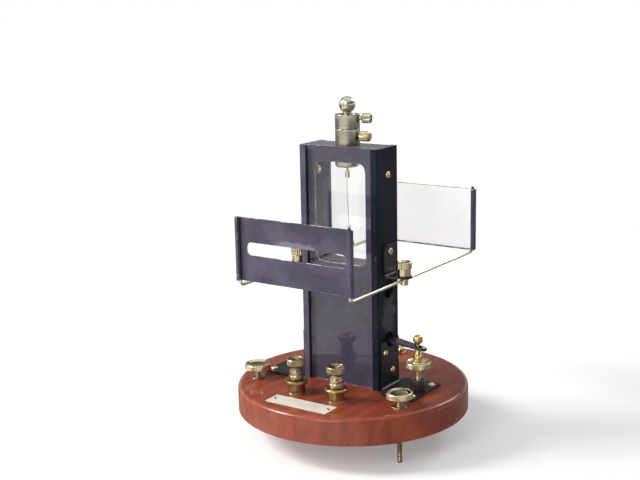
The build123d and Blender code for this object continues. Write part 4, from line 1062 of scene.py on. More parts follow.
@dataclass
class Terminals:
    """Two clamping terminals on the board.

    The waist's outline is given as shares of its radius and height, with the rounding of each corner.
    """

    column_radius: float = 5.9
    column_height: float = 7.0
    foot_lip: float = 0.25
    foot_height: float = 0.5
    ring_radius: float = 7.75
    ring_height: float = 2.5
    stud_radius: float = 1.8
    stud_pitch: float = 0.6
    stud_depth: float = 0.18
    stud_sunk: float = 1.9
    bore_clearance: float = 0.08
    waist_radius: float = 4.6
    waist: tuple[tuple[float, float, float], ...] = (
        (0.98, 0.0, 0.2), (1.10, 0.13, 0.4), (1.10, 0.24, 0.4), (0.97, 0.33, 0.4), (1.05, 0.50, 1.2),
        (0.84, 0.74, 1.2), (0.86, 0.90, 0.8))
    head: Rim = Rim(6.25, 1.2, 1.9, 0.75, (0.2, 0.05, 0.05, 0.2, 0.3, 0.4))
    head_height: float = 4.6
    ridges: int = 66
    ridge_depth: float = 0.17

    def post(self, top: float) -> Shape:
        """Column with a foot lip and a ring, on a board whose top is given."""
        column, ring_radius = self.column_radius, self.ring_radius
        ring = top + self.column_height
        ring_top = ring + self.ring_height
        lip, foot = column + self.foot_lip, top + self.foot_height
        return turned(rounded([
            (0, top, 0), (lip, top, 0.1), (lip, foot, 0.1), (column, foot + 0.2, 0.1), (column, ring, 0.1),
            (ring_radius - 0.4, ring, 0.2), (ring_radius, ring + 0.6, 0.3),
            (ring_radius, ring_top - 0.7, 0.4), (ring_radius - 0.9, ring_top, 0.4), (0, ring_top, 0)]), 72)

    def nut(self, low: float, high: float) -> Shape:
        """Waisted nut with a knurled, dished head."""
        neck = high - self.head_height
        bore = self.stud_radius + self.bore_clearance
        waist = [(self.waist_radius * r, low + (neck - low) * z, cut) for r, z, cut in self.waist]
        outline = rounded([(bore, low, 0.1), *waist, *self.head.points(neck, high),
                           (bore + 1.2, high - 0.85, 0.3), (bore, high - 1.3, 0.1)], closed=True)
        return turned(outline, knurl=self.head.knurl(self.ridges, self.ridge_depth, neck, high), bored=True)

    def build(self) -> None:
        """Posts with their rings and studs, and the nuts."""
        top = node_box("base_board")[1][2]
        ring_top = top + self.column_height + self.ring_height
        posts, studs = [], []
        for side in SIDES:
            node = f"terminal_nut_{side}"
            low, high = (corner[2] for corner in node_box(node))
            axis = foot_of(node)
            posts.append(self.post(top).placed(axis))
            studs.append(threaded(self.stud_radius, ring_top - 0.5, high - self.stud_sunk,
                                  self.stud_pitch, self.stud_depth).placed(axis))
            Piece(f"{node}_knurled", [self.nut(low, high).placed(axis)], BROWN_BRASS, "brass", node,
                  [node]).make()
        Piece("terminal_posts_turned", posts + studs, COLUMN_BRONZE, "brass", "stand",
              ["terminal_posts"]).make()


@dataclass
class Tower:
    """Folded uprights, sliding covers, top plate and what is fixed to the walls."""

    wall: float = 1.5
    bend: float = 1.3
    hole_y: float = -1.5
    hole_z: float = 87.5
    hole_radius: float = 6.5
    lever_z: float = 52.2
    lever_radius: float = 5.2
    screw_radius: float = 2.4
    screw_height: float = 1.5
    shank_radius: float = 1.5
    upper_z: float = 164.6
    upper_tail: float = 22.8
    upper_turn: float = 40.0
    bracket_z: float = 113.2
    bracket_tail: float = 25.6
    bracket_turn: float = 118.0
    foot_screws: tuple[tuple[float, float, float], ...] = ((-8.6, 44.3, 75.0), (0.4, 30.2, 115.0))
    sheet: float = 1.5
    angle_leg_half: float = 11.0
    angle_corner: float = 4.0
    angle_bend: float = 2.0
    widening: float = 0.4
    wood_screw_radius: float = 2.5
    wood_screw_height: float = 1.7
    wood_screw_turns: tuple[float, ...] = (25.0, 75.0, 125.0, 175.0)
    window_half: float = 20.0
    window_low: float = 103.3
    window_high: float = 172.3
    window_round: float = 6.5

    def channel(self, side: str) -> None:
        """C section with rounded bends, carried up the tower, with its side holes cut."""
        name, way = f"side_channel_{side}", SIDES[side]
        low, high = node_box(name)
        outer, inner = (high[0], low[0]) if way > 0 else (low[0], high[0])
        web = outer - way * self.wall
        front, back, bend = low[1], high[1], self.bend
        outline = rounded([(outer, front, bend), (outer, back, bend), (inner, back, 0.25),
                           (inner, back - self.wall, 0.25), (web, back - self.wall, 0.2),
                           (web, front + self.wall, 0.2), (inner, front + self.wall, 0.25),
                           (inner, front, 0.25)], 5, closed=True)
        holes = [(self.hole_z, self.hole_radius)]
        if way > 0:
            holes.append((self.lever_z, self.lever_radius))
        cuts = [bar((web - way * 3, self.hole_y, z), (outer + way * 3, self.hole_y, z), r)
                for z, r in holes]
        # The right channel, turned away from the key lamp, takes the darker lacquer as painted shade.
        Piece(f"{name}_folded", [prism(outline, low[2], high[2])],
              SHADED_WALL_LACQUER if way > 0 else TOWER_LACQUER, "tower_lacquer", "stand", [name], cuts,
              edge=0.16, edge_finish=TOWER_EDGE).make()

    def cover(self, place: str) -> None:
        """Black sheet with its window, and the pane in front of it, which casts no shadow."""
        body = f"{place}_cover"
        low, high = node_box(f"{place}_plate")
        half = self.window_half
        window = soften(rectangle((-half, self.window_low), (half, self.window_high)),
                        self.window_round, 10, closed=True)
        opening = prism(window, -3, 3).placed((0, (low[1] + high[1]) / 2, 0), X_AXIS, Z_AXIS, -Y_AXIS)
        Piece(f"{place}_plate_windowed", [slab(low, high)], COVER_LACQUER, "tower_lacquer", body,
              [f"{place}_plate"], [opening], edge=0.12, edge_finish=TOWER_EDGE).make()
        pane = Piece(f"{place}_glass_pane", [slab(*node_box(f"{place}_glass"))], GLASS, "glass", body,
                     [f"{place}_glass"], edge=0.15).make()
        pane.visible_shadow = False

    def foot_angle(self, side: str) -> None:
        """Folded angle: narrow up the wall, wide on the board, with a notch for the lever.

        The half width on the board is that of the leg up to the bend, and from there the foot's less
        the corner, growing by the distance from the bend up to the foot's own.
        """
        name, way = f"foot_angle_{side}", SIDES[side]
        low, high = node_box(name)
        wall, reach = (low[0], high[0]) if way > 0 else (-high[0], -low[0])
        foot_half = (high[1] - low[1]) / 2
        half = self.sheet / 2
        path = soften([(wall + half, high[2]), (wall + half, low[2] + half), (reach, low[2] + half)],
                      self.angle_bend, 6)
        run = path[-2] + (path[-1] - path[-2]) * np.linspace(0, 1, 9)[:, None]
        line = np.vstack([path[:-2], run])
        past_bend = line[:, 0] - (wall + self.sheet + self.widening)
        on_board = np.minimum(foot_half - self.angle_corner + np.maximum(past_bend, 0), foot_half)
        width = np.where(past_bend <= 0, self.angle_leg_half, on_board)
        middle = np.full(len(line), (low[1] + high[1]) / 2)
        points = np.column_stack([way * line[:, 0], middle, line[:, 1]])
        notch = bar((way * (wall - 1), self.hole_y, self.lever_z),
                    (way * (wall + 4), self.hole_y, self.lever_z), self.lever_radius)
        Piece(f"{name}_folded", [strip(points, Y_AXIS, -width, width, self.sheet)], BLACK_LACQUER,
              "black_lacquer", "stand", [name], [notch], edge=0.15, edge_finish=BLACK_EDGE).make()

    def wall_screws(self) -> None:
        """Slotted brass heads on both walls, and the shanks of those whose tails show inside."""
        half = node_box("side_channel_right")[1][0]
        pattern = slotted_head(self.screw_radius, self.screw_height)
        places = [(self.hole_y, self.upper_z, 0.0, self.upper_turn),
                  (self.hole_y, self.bracket_z, self.sheet, self.bracket_turn)]
        places += [(y, z, self.sheet, turn) for y, z, turn in self.foot_screws]
        heads, shanks = [], []
        for way in SIDES.values():
            for y, z, outside, turn in places:
                a = math.radians(turn)
                u, v = turned_way(a, Y_AXIS, Z_AXIS), way * turned_way(a, Z_AXIS, -Y_AXIS)
                heads.append(pattern.placed((way * (half + outside), y, z), u, v, way * X_AXIS))
        for z, tail in ((self.upper_z, self.upper_tail), (self.bracket_z, self.bracket_tail)):
            shanks += [bar((way * half, self.hole_y, z), (way * tail, self.hole_y, z),
                           self.shank_radius, 24) for way in SIDES.values()]
        Piece("wall_screws_slotted", heads + shanks, PALE_BRASS, "brass", "stand", ["wall_screws"]).make()

    def wood_screws(self) -> None:
        """Slotted round heads in the foot angles."""
        low, high = node_box("wood_screws")
        r = self.wood_screw_radius
        x, rows, foot = high[0] - r, (low[1] + r, high[1] - r), high[2] - self.wood_screw_height
        pattern = slotted_head(r, self.wood_screw_height)
        places = [(way * x, y, foot) for way in SIDES.values() for y in rows]
        heads = []
        for place, turn in zip(places, self.wood_screw_turns):
            a = math.radians(turn)
            heads.append(pattern.placed(place, turned_way(a, X_AXIS, Y_AXIS),
                                        turned_way(a, Y_AXIS, -X_AXIS), Z_AXIS))
        Piece("wood_screws_slotted", heads, PALE_BRASS, "brass", "stand", ["wood_screws"]).make()

    def build(self) -> None:
        """Builds the tower."""
        for side in SIDES:
            self.channel(side)
        for place in ("front", "rear"):
            self.cover(place)
        for side in SIDES:
            self.foot_angle(side)
        self.wall_screws()
        self.wood_screws()
        recoat(TOWER_LACQUER, "top_plate", "cover_rails")
        recoat(COPPER, "ear_washers")
        recoat(BROWN_BRASS, "wall_nuts")


@dataclass
class TorsionHead:
    """Two collars, the stem with its ball, and the clamp screws."""

    collar_radius: float = 8.3
    collar_bore: float = 2.3
    joint_gap: float = 0.1
    recess_radius: float = 6.6
    recess_depth: float = 0.8
    ball_radius: float = 5.45
    ball_end: float = -0.305 * math.pi
    neck_radius: float = 3.0
    neck_foot_radius: float = 2.6
    neck_foot_rise: float = 1.3
    stem_radius: float = 2.2
    split_radius: float = 0.9
    split_length: float = 4.5
    thumb_neck_radius: float = 1.2
    thumb_sunk: float = 2.0
    end_bevel: float = 0.4
    ridges: int = 40
    ridge_depth: float = 0.13
    slot_width: float = 0.8
    slot_depth: float = 0.7
    slot_turn: float = 40.0
    lower_angle: float = 5.0
    lower_length: float = 7.0
    upper_angle: float = 18.0
    upper_length: float = 6.3

    def collars(self) -> None:
        """Socket and upper collar with softened rims; the upper one has a shallow recess."""
        tower_top, joint, top = (node_box(node)[1][2] for node in (
            "side_channel_right", "torsion_socket", "torsion_collar"))
        axis = foot_of("torsion_socket")
        r, bore, recess = self.collar_radius, self.collar_bore, self.recess_radius
        lower = rounded([(0, tower_top, 0), (r, tower_top, 0.25), (r, joint, 0.35), (0, joint, 0)])
        foot, floor = joint + self.joint_gap, top - self.recess_depth
        upper = rounded([(bore, foot, 0), (r, foot, 0.35), (r, top, 0.5), (recess, top, 0.15),
                         (recess, floor, 0.1), (bore, floor, 0.1)], closed=True)
        Piece("torsion_socket_turned", [turned(lower, 96).placed(axis)], BRONZE, "collar_bronze", "stand",
              ["torsion_socket"]).make()
        Piece("torsion_collar_turned", [turned(upper, 96, bored=True).placed(axis)], BRONZE,
              "collar_bronze", "torsion_collar", ["torsion_collar"]).make()

    def clamp(self, node: str, body: str, angle: float, length: float, finish: Finish) -> None:
        """Thumb screw: thin neck and a knurled head with a slot across its end.

        Args:
            node: The solid that it replaces.
            body: The body that it rides.
            angle: Direction from +X, in degrees.
            length: Length of the head.
            finish: The screw's metal.
        """
        w = turned_way(math.radians(angle), X_AXIS, Y_AXIS)
        v = np.cross(Z_AXIS, w)
        low, high = node_box(node)
        place = (0, node_centre("torsion_socket")[1], node_centre(node)[2])
        head = (high[2] - low[2]) / 2
        reach = (high[0] - (head - self.end_bevel) * abs(v[0])) / w[0]
        start, root, neck = reach - length, self.collar_radius - self.thumb_sunk, self.thumb_neck_radius
        profile = rounded([(0, root, 0), (neck, root, 0), (neck, start, 0.2), (head - 0.5, start, 0.1),
                           (head, start + 0.5, 0.05), (head, reach - 0.6, 0.1),
                           (head - 0.5, reach - 0.1, 0.2), (head * 0.6, reach, 0.3), (0, reach, 0)])
        knurl = Knurl(self.ridges, self.ridge_depth, start + 0.5, reach - 0.6)
        u = turned_way(math.radians(self.slot_turn), Z_AXIS, v)
        half = self.slot_width / 2
        slot = slab((-head - 1, -half, reach - self.slot_depth),
                    (head + 1, half, reach + 1)).placed(place, u, np.cross(w, u), w)
        Piece(f"{node}_knurled", [turned(profile, knurl=knurl).placed(place, v, Z_AXIS, w)],
              finish, "brass", body, [node], [slot]).make()

    def stem(self) -> None:
        """Ball on its neck, the stem through the collars, and the split clamp below."""
        low, high = (corner[2] for corner in node_box("suspension_stem"))
        r, centre = self.ball_radius, high - self.ball_radius
        angle = np.linspace(np.pi / 2, self.ball_end, 26)
        ball = np.column_stack([r * np.cos(angle), centre + r * np.sin(angle)])
        foot = node_box("torsion_collar")[1][2] - self.recess_depth + self.neck_foot_rise
        split = low + self.split_length
        below = soften([(self.neck_radius, centre - r * 0.82), (self.neck_foot_radius, foot),
                        (self.stem_radius, foot), (self.stem_radius, split),
                        (self.split_radius, split - 0.1), (self.split_radius, low), (0, low)], 0.15)
        shape = turned(np.vstack([ball, below]), 64).placed(foot_of("torsion_socket"))
        Piece("suspension_stem_turned", [shape], BALL_BRASS, "brass", "stem", ["suspension_stem"]).make()
        recoat(PALE_BRASS, "strip_clamp")
        recoat(BRONZE, "lock_nut")

    def build(self) -> None:
        """Builds the head."""
        self.collars()
        self.clamp("collar_clamp_screw", "collar_clamp", self.upper_angle, self.upper_length, OLIVE_BRASS)
        self.clamp("socket_clamp_screw", "socket_clamp", self.lower_angle, self.lower_length, PALE_BRASS)
        self.stem()


@dataclass
class Movement:
    """Suspension strip, mirror, coil and magnet."""

    coil_bar: float = 2.0
    coil_bend: float = 1.6
    coil_round: float = 0.4
    slack: float = 0.6
    strip_half_width: float = 0.2
    strip_thickness: float = 0.12
    mirror_edge: float = 0.15

    def strip(self) -> None:
        """Slack flat strip: its x is a shallow S, A sin(2 pi t) (1 - t / 3), from clamp to spindle."""
        low, high = node_box("suspension_strip")
        t = np.linspace(0, 1, 60)
        x, y, _ = node_centre("suspension_strip")
        bow = self.slack * np.sin(2 * np.pi * t) * (1 - t / 3)
        path = np.column_stack([x - bow, np.full(len(t), y), high[2] + (low[2] - high[2]) * t])
        half = np.full(len(t), self.strip_half_width)
        Piece("suspension_strip_slack", [strip(path, Y_AXIS, -half, half, self.strip_thickness)],
              STRIP_BRONZE, "strip_bronze", "coil", ["suspension_strip"]).make()

    def mirror(self) -> None:
        """Silvered disc with a ground edge."""
        low, high = node_box("mirror")
        x, _, z = node_centre("mirror")
        r, t, edge = (high[0] - low[0]) / 2, high[1] - low[1], self.mirror_edge
        disc = turned(rounded([(0, 0, 0), (r, 0, edge), (r, t, edge), (0, t, 0)]), 64)
        Piece("mirror_disc", [disc.placed((x, high[1], z), X_AXIS, Z_AXIS, -Y_AXIS)], SILVER, "mirror",
              "coil", ["mirror"]).make()

    def coil(self) -> None:
        """Wound loop: a rounded section carried round a rounded rectangle."""
        low, high = node_box("coil_winding")
        half = self.coil_bar / 2
        y, depth = (low[1] + high[1]) / 2, (high[1] - low[1]) / 2
        loop = soften(rectangle(low[[0, 2]] + half, high[[0, 2]] - half), self.coil_bend, 6, closed=True)
        tangent = np.roll(loop, -1, axis=0) - np.roll(loop, 1, axis=0)
        tangent /= np.linalg.norm(tangent, axis=1)[:, None]
        normal = np.column_stack([tangent[:, 1], -tangent[:, 0]])
        section = soften(rectangle((-half, -depth), (half, depth)), self.coil_round, closed=True)
        plane = loop[:, None] + section[None, :, :1] * normal[:, None]
        across = y + np.broadcast_to(section[None, :, 1], plane.shape[:2])
        grid = np.stack([plane[..., 0], across, plane[..., 1]], axis=-1)
        Piece("coil_wound", [skin(grid, loop=True)], COIL_WIRE, "copper", "coil", ["coil_winding"]).make()

    def build(self) -> None:
        """Builds the movement."""
        self.strip()
        self.mirror()
        self.coil()
        recoat(MAGNET, "magnet")
        recoat(IRON, "pole_pieces", "iron_core", "lever_pin")
        recoat(PALE_BRASS, "core_bracket", "magnet_pillars", "lever_bearing", "coil_spindle")


@dataclass
class ArrestGear:
    """Lifting column, lever and arrest rod.

    The bell's outline is given as shares of its radius and height, with the rounding of each corner.
    """

    foot_sheet: float = 1.5
    boss_radius: float = 5.05
    boss_bore: float = 1.72
    rod_radius: float = 1.65
    thread_pitch: float = 0.7
    thread_depth: float = 0.2
    wheel_bore: float = 1.7
    wheel: Rim = Rim(8.8, 1.2, 2.4, 0.9, (0.2, 0.05, 0.05, 0.2, 0.3, 0.5))
    wheel_hub: float = 3.8
    ridges: int = 84
    ridge_depth: float = 0.16
    dome_radius: float = 3.2
    dome_height: float = 8.2
    dome: tuple[tuple[float, float, float], ...] = ((1.0, 0.20, 1.0), (0.99, 0.42, 1.4), (0.84, 0.66, 1.2))
    shoulder_radius: float = 2.1
    neck_radius: float = 1.1
    knob_radius: float = 3.3
    knob_start: float = -0.40 * math.pi
    tilt: float = 5.71
    lever_drop: float = 1.4
    lever_thickness: float = 1.6
    wall_x: float = 33.0
    inner_half: tuple[float, float] = (2.3, 2.9)
    shoulder: tuple[float, float] = (-4.2, 5.4)
    tip_radius: float = 2.7
    tip_past: float = 3.7
    fork_clearance: float = 0.35
    barrel: tuple[float, float, float] = (1.05, 2.2, 2.3)
    end_screw: tuple[float, float] = (1.2, 1.0)
    end_screw_past: float = 4.8

    def boss(self) -> None:
        """Ebonite boss on the foot angle, bored for the screw."""
        floor = node_box("foot_angle_right")[0][2] + self.foot_sheet
        top, r, bore = node_box("lift_boss")[1][2], self.boss_radius, self.boss_bore
        boss = rounded([(bore, floor, 0.1), (r, floor, 0.2), (r, top, 0.5), (bore, top, 0.2)], closed=True)
        Piece("lift_boss_turned", [turned(boss, 64, bored=True).placed(foot_of("lift_boss"))], EBONITE,
              "ebonite", "stand", ["lift_boss"]).make()

    def thumb_wheel(self) -> None:
        """Dished, knurled disc with a raised hub."""
        low, high = (corner[2] for corner in node_box("lift_wheel"))
        bore, hub, hub_top = self.wheel_bore, self.wheel_hub, high - 0.1
        outline = rounded([(bore, low, 0.1), *self.wheel.points(low, high),
                           (hub + 0.5, high - self.wheel.drop, 0.3), (hub, hub_top, 0.2),
                           (bore, hub_top, 0.1)], closed=True)
        knurl = self.wheel.knurl(self.ridges, self.ridge_depth, low, high)
        Piece("lift_wheel_knurled", [turned(outline, knurl=knurl, bored=True).placed(foot_of("lift_boss"))],
              PALE_BRASS, "brass", "lift_wheel", ["lift_wheel"]).make()

    def spindle(self) -> None:
        """Threaded rod with the bell, the neck and the ball on top."""
        low, high = (corner[2] for corner in node_box("lift_spindle"))
        foot, axis = node_box("lift_wheel")[1][2], foot_of("lift_boss")
        knob, neck = high - self.knob_radius, self.neck_radius
        shoulder_top = foot + self.dome_height
        dome = [(self.dome_radius * r, foot + self.dome_height * z, cut) for r, z, cut in self.dome]
        bell = rounded([(self.dome_radius * 0.80, foot - 0.1, 0),
                        (self.dome_radius * 0.92, foot + 0.5, 0.3), *dome,
                        (self.shoulder_radius, foot + self.dome_height * 0.86, 0.4),
                        (self.shoulder_radius, shoulder_top, 0.15), (neck, shoulder_top + 0.1, 0.1),
                        (neck, knob - self.knob_radius + 0.1, 0)], 5)
        angle = np.linspace(self.knob_start, np.pi / 2, 22)
        ball = np.column_stack([self.knob_radius * np.cos(angle), knob + self.knob_radius * np.sin(angle)])
        rod = threaded(self.rod_radius, low, foot, self.thread_pitch, self.thread_depth)
        body = turned(np.vstack([[(0, foot - 0.1)], bell, ball]), 56)
        Piece("lift_spindle_turned", [rod.placed(axis), body.placed(axis)], GOLD, "brass", "lift_screw",
              ["lift_spindle"]).make()

    def lever(self) -> None:
        """Tapered bar that slopes down outwards, with its barrel, fork slot and end screw.

        The bar's stations are its distance along the slope and its limits across: narrow inside the
        tower, a shoulder outside the wall, a taper, and a half circle round the tip.
        """
        pivot = node_centre("lever_pin")
        a = math.radians(self.tilt)
        along, up = turned_way(a, X_AXIS, -Z_AXIS), turned_way(a, Z_AXIS, X_AXIS)
        reach = (foot_of("lift_boss")[0] - pivot[0] - self.lever_drop * math.sin(a)) / math.cos(a)
        wall, tip, r = (self.wall_x - pivot[0]) / math.cos(a), reach + self.tip_past, self.tip_radius
        root, end = self.inner_half
        stations = [(0, -root, root), (wall, -end, end), (wall + 0.01, *self.shoulder), (tip, -r, r)]
        round_end = np.linspace(0.12, np.pi / 2, 8)[:-1]
        stations += [(tip + r * math.sin(t), -r * math.cos(t), r * math.cos(t)) for t in round_end]
        s, near, far = np.array(stations).T
        path = pivot + s[:, None] * along + self.lever_drop * up
        arm = strip(path, Y_AXIS, near, far, self.lever_thickness)
        half = self.neck_radius + self.fork_clearance
        fork = prism(soften(rectangle((-2 * half, -half), (2 * half, half)), half, 8, closed=True), -2, 2)
        fork = fork.placed(pivot + reach * along + self.lever_drop * up, along, Y_AXIS, up)
        bore, outside, length = self.barrel
        sleeve = soften(rectangle((bore, -length), (outside, length)), 0.15, closed=True)
        barrel = turned(sleeve, 32, bored=True).placed(pivot, X_AXIS, Z_AXIS, Y_AXIS)
        Piece("lever_arm_tapered", [arm, barrel], BLACK_LACQUER, "black_lacquer", "lever", ["lever_arm"],
              [fork], edge=0.14, edge_finish=BLACK_EDGE, smooth=50).make()
        at = pivot + (reach + self.end_screw_past) * along
        at = at + (self.lever_drop + self.lever_thickness / 2) * up
        Piece("lever_tip_screw_slotted", [slotted_head(*self.end_screw).placed(at, along, Y_AXIS, up)],
              GOLD, "brass", "lever", ["lever_tip_screw"]).make()

    def build(self) -> None:
        """Builds the gear."""
        self.boss()
        self.thumb_wheel()
        self.spindle()
        self.lever()
        recoat(PALE_BRASS, "arrest_rod")


@dataclass
class Carrier:
    """Rods, folded holders, card, brackets and clamps."""

    rod_radius: float = 1.0
    rod_cut: float = 3.75
    short_end: float = 0.5
    sheet: float = 0.8
    lip: float = 2.6
    fold: float = 1.1
    card_sheet: float = 0.55
    bow: float = 0.06
    bow_waves: float = 1.4
    fold_x: float = 2.2
    fold_depth: float = 0.06
    fold_width: float = 0.35
    fold_reach: float = 1.2
    slot_half: float = 38.8
    slot_height: float = 4.3
    slot_x: float = 1.2
    slot_z: float = 120.3
    bracket_sheet: float = 1.5
    bracket_bend: float = 1.6
    bracket_corner: float = 3.0
    tab_radius: float = 5.2
    eye_radius: float = 2.6
    eye_bore: float = 1.06
    eye_half: float = 9.0
    stud_radius: float = 1.5
    stud_pitch: float = 0.5
    stud_depth: float = 0.15
    nut_bore: float = 1.6
    nut_step: float = 4.5
    nut_lower: float = 4.4
    nut: Rim = Rim(5.0, 1.1, 1.8, 0.7, (0.1, 0.1, 0.1, 0.2, 0.3, 0.3), under=0.8, upper=0.4)
    scallops: int = 22
    scallop_depth: float = 0.28

    def rods(self) -> None:
        """Two bent wires: straight runs with rounded bends, in planes across X."""
        low, high = node_box("carrier_rods")
        r, z = self.rod_radius, low[2] + self.rod_radius
        front, back = low[1] + r, high[1] - r
        tops = {-1: node_box("slot_holder")[1][2] - self.short_end, 1: high[2]}
        paths = []
        for way, top in tops.items():
            x = way * (high[0] - r)
            path = soften([(x, front, top), (x, front, z), (x, back, z), (x, back, high[2] - 1)],
                          self.rod_cut, 10)
            paths.append(tube(path, r, X_AXIS))
        Piece("carrier_rods_bent", paths, WIRE, "rod_brass", "carrier", ["carrier_rods"],
              smooth=50).make()

    def holder(self, node: str, cuts: Sequence[Shape], shelf: bool) -> None:
        """Sheet with both upright edges folded forward and in, as one strip round its outline."""
        low, high = node_box(node)
        half, t = high[0], self.sheet / 2
        y0, y1, bend = low[1] + t, high[1] - t, self.fold
        line = rounded([(-half + self.lip, y0, 0), (-half + t, y0, bend), (-half + t, y1, bend),
                        (half - t, y1, bend), (half - t, y0, bend), (half - self.lip, y0, 0)], 6)
        points = np.column_stack([line, np.zeros(len(line))])
        edges = (np.full(len(line), z) for z in (low[2], high[2]))
        shapes = [strip(points, Z_AXIS, *edges, self.sheet)]
        if shelf:
            inner = node_box("carrier_rods")[1][0] - 2 * self.rod_radius - 0.3
            shapes.append(slab((-inner, low[1], low[2]), (inner, high[1] - 0.1, low[2] + self.sheet)))
        Piece(f"{node}_folded", shapes, HOLDER_LACQUER, "tower_lacquer", "carrier", [node], cuts,
              edge=0.14, edge_finish=TOWER_EDGE, smooth=50).make()

    def holders(self) -> None:
        """Front holder with its long slot, and the rear one with a shelf for the card."""
        back, half, r = node_box("slot_holder")[1][1], self.slot_half, self.slot_height
        outline = soften(rectangle((-half, -r), (half, r)), r, 12, closed=True)
        slot = prism(outline, -4, 4).placed((self.slot_x, back, self.slot_z), X_AXIS, Z_AXIS, -Y_AXIS)
        self.holder("slot_holder", [slot], False)
        self.holder("card_holder", [], True)

    def card(self) -> None:
        """Plain card: its face bows by A sin(1.4 pi s) and has one fold, a dip B exp(-(d / w)^2)."""
        low, high = node_box("white_card")
        near_fold = self.fold_x + np.linspace(-self.fold_reach, self.fold_reach, 9)
        s = np.sort(np.concatenate([np.linspace(low[0], high[0], 40), near_fold]))
        bow = self.bow * np.sin(np.pi * (s - low[0]) / (high[0] - low[0]) * self.bow_waves)
        bow += self.fold_depth * np.exp(-((s - self.fold_x) / self.fold_width) ** 2)
        path = np.column_stack([s, (low[1] + high[1]) / 2 + bow, np.zeros(len(s))])
        sheet = strip(path, Z_AXIS, low[2:], high[2:], self.card_sheet)
        Piece("white_card_plain", [sheet], CARD, "white_card", "card", ["white_card"], edge=0.1).make()

    def brackets(self) -> None:
        """Angles on the walls whose round-ended tabs carry the clamps.

        The half width is a quarter circle at the leg's top, the leg's own down to the bend, then a
        taper to the tab's radius and a quarter circle at its end.
        """
        low, high = node_box("carrier_brackets")
        wall = node_box("side_channel_right")[1][0]
        half, tip, corner = (high[1] - low[1]) / 2, self.tab_radius, self.bracket_corner
        middle = self.bracket_sheet / 2
        upright_x, tab_z, rod_x = wall + middle, low[2] + middle, high[0] - tip
        bend = soften([(upright_x, high[2]), (upright_x, tab_z), (rod_x, tab_z)], self.bracket_bend, 6)
        turn = np.linspace(0, np.pi / 2, 12)[1:]
        end = np.column_stack([rod_x + tip * np.sin(turn), np.full(len(turn), tab_z)])
        line = np.vstack([bend, end])
        taper = np.clip((line[:, 0] - wall - 2) / (rod_x - wall - 2), 0, 1)
        width = half + (tip - half) * taper
        width[-len(turn):] = np.maximum(tip * np.cos(turn), 0.15)
        rise = np.linspace(0, np.pi / 2, 7)[:-1]
        top = np.column_stack([np.full(len(rise), upright_x), high[2] - corner + corner * np.cos(rise)])
        line = np.vstack([top, line[1:]])
        width = np.concatenate([half - corner + corner * np.sin(rise), width[1:]])
        y = np.full(len(line), (low[1] + high[1]) / 2)
        shapes = [strip(np.column_stack([way * line[:, 0], y, line[:, 1]]), Y_AXIS, -width, width,
                        self.bracket_sheet) for way in SIDES.values()]
        Piece("carrier_brackets_folded", shapes, BLACK_LACQUER, "black_lacquer", "stand",
              ["carrier_brackets"], edge=0.14, edge_finish=BLACK_EDGE, smooth=50).make()

    def clamp_studs(self) -> None:
        """Eye studs under the tabs, bored for the rods, with their threads through the tabs."""
        low, high = (corner[2] for corner in node_box("clamp_studs"))
        tab, (rod_low, rod_high) = node_box("carrier_brackets")[0][2], node_box("carrier_rods")
        rod_z, rod_x = rod_low[2] + self.rod_radius, rod_high[0] - self.rod_radius
        y, r, reach = node_centre("clamp_studs")[1], self.eye_radius, self.eye_half
        profile = rounded([(0, low, 0), (r, low, 0.4), (r, tab, 0.1), (0, tab, 0)])
        studs, eyes = [], []
        for way in SIDES.values():
            x = way * rod_x
            thread = threaded(self.stud_radius, tab - 0.2, high, self.stud_pitch, self.stud_depth)
            studs += [turned(profile, 40).placed((x, y, 0)), thread.placed((x, y, 0))]
            eyes.append(bar((x, y - reach, rod_z), (x, y + reach, rod_z), self.eye_bore, 32))
        Piece("clamp_studs_turned", studs, PALE_BRASS, "brass", "stand", ["clamp_studs"], eyes).make()

    def clamp_nut(self, node: str) -> None:
        """Stepped thumb nut: a plain foot and a scalloped, dished head."""
        low, high = (corner[2] for corner in node_box(node))
        axis, step, bore = foot_of(node), low + self.nut_step, self.nut_bore
        join = step + 0.05
        head = rounded([(bore, step, 0.1), *self.nut.points(step, high),
                        (bore, high - self.nut.drop, 0.1)], closed=True)
        foot = rounded([(bore, low, 0.1), (self.nut_lower, low, 0.25), (self.nut_lower, step - 0.3, 0.2),
                        (self.nut_lower - 0.4, join, 0.1), (bore, join, 0.1)], closed=True)
        knurl = Knurl(self.scallops, self.scallop_depth, step + 0.4, high - 0.35)
        Piece(f"{node}_scalloped", [turned(head, knurl=knurl, bored=True).placed(axis),
                                    turned(foot, 48, bored=True).placed(axis)],
              PALE_BRASS, "brass", node, [node]).make()

    def build(self) -> None:
        """Builds the carrier."""
        self.rods()
        self.holders()
        self.card()
        self.brackets()
        self.clamp_studs()
        for side in SIDES:
            self.clamp_nut(f"clamp_nut_{side}")


@dataclass(frozen=True)
class Lamp:
    """Square lamp aimed at the middle of the tower; its place and size are in metres."""

    name: str
    place: tuple[float, float, float]
    size: float
    watts: float
    colour: tuple[float, float, float]
    aim: tuple[float, float, float] = (0.0, 0.0, 0.08)

    def hang(self) -> None:
        """Puts the lamp in the scene, its back away from what it is aimed at."""
        data = bpy.data.lights.new(self.name, "AREA")
        data.size, data.energy, data.color = self.size, self.watts, self.colour
        thing = bpy.data.objects.new(self.name, data)
        bpy.context.scene.collection.objects.link(thing)
        back = np.array(self.place) - self.aim
        back /= np.linalg.norm(back)
        right = np.cross(Z_AXIS, back)
        right /= np.linalg.norm(right)
        turn = Matrix(np.column_stack([right, np.cross(back, right), back]).tolist()).to_4x4()
        thing.matrix_world = Matrix.Translation(self.place) @ turn


LAMPS = (Lamp("key", (-1.05, -0.75, 1.05), 0.6, 26.0, (1.0, 0.97, 0.93)),
         Lamp("front", (0.15, -1.5, 0.9), 0.8, 9.0, (0.97, 0.97, 1.0)),
         Lamp("back", (0.4, 1.3, 1.0), 0.6, 6.0, (0.92, 0.95, 1.0)))


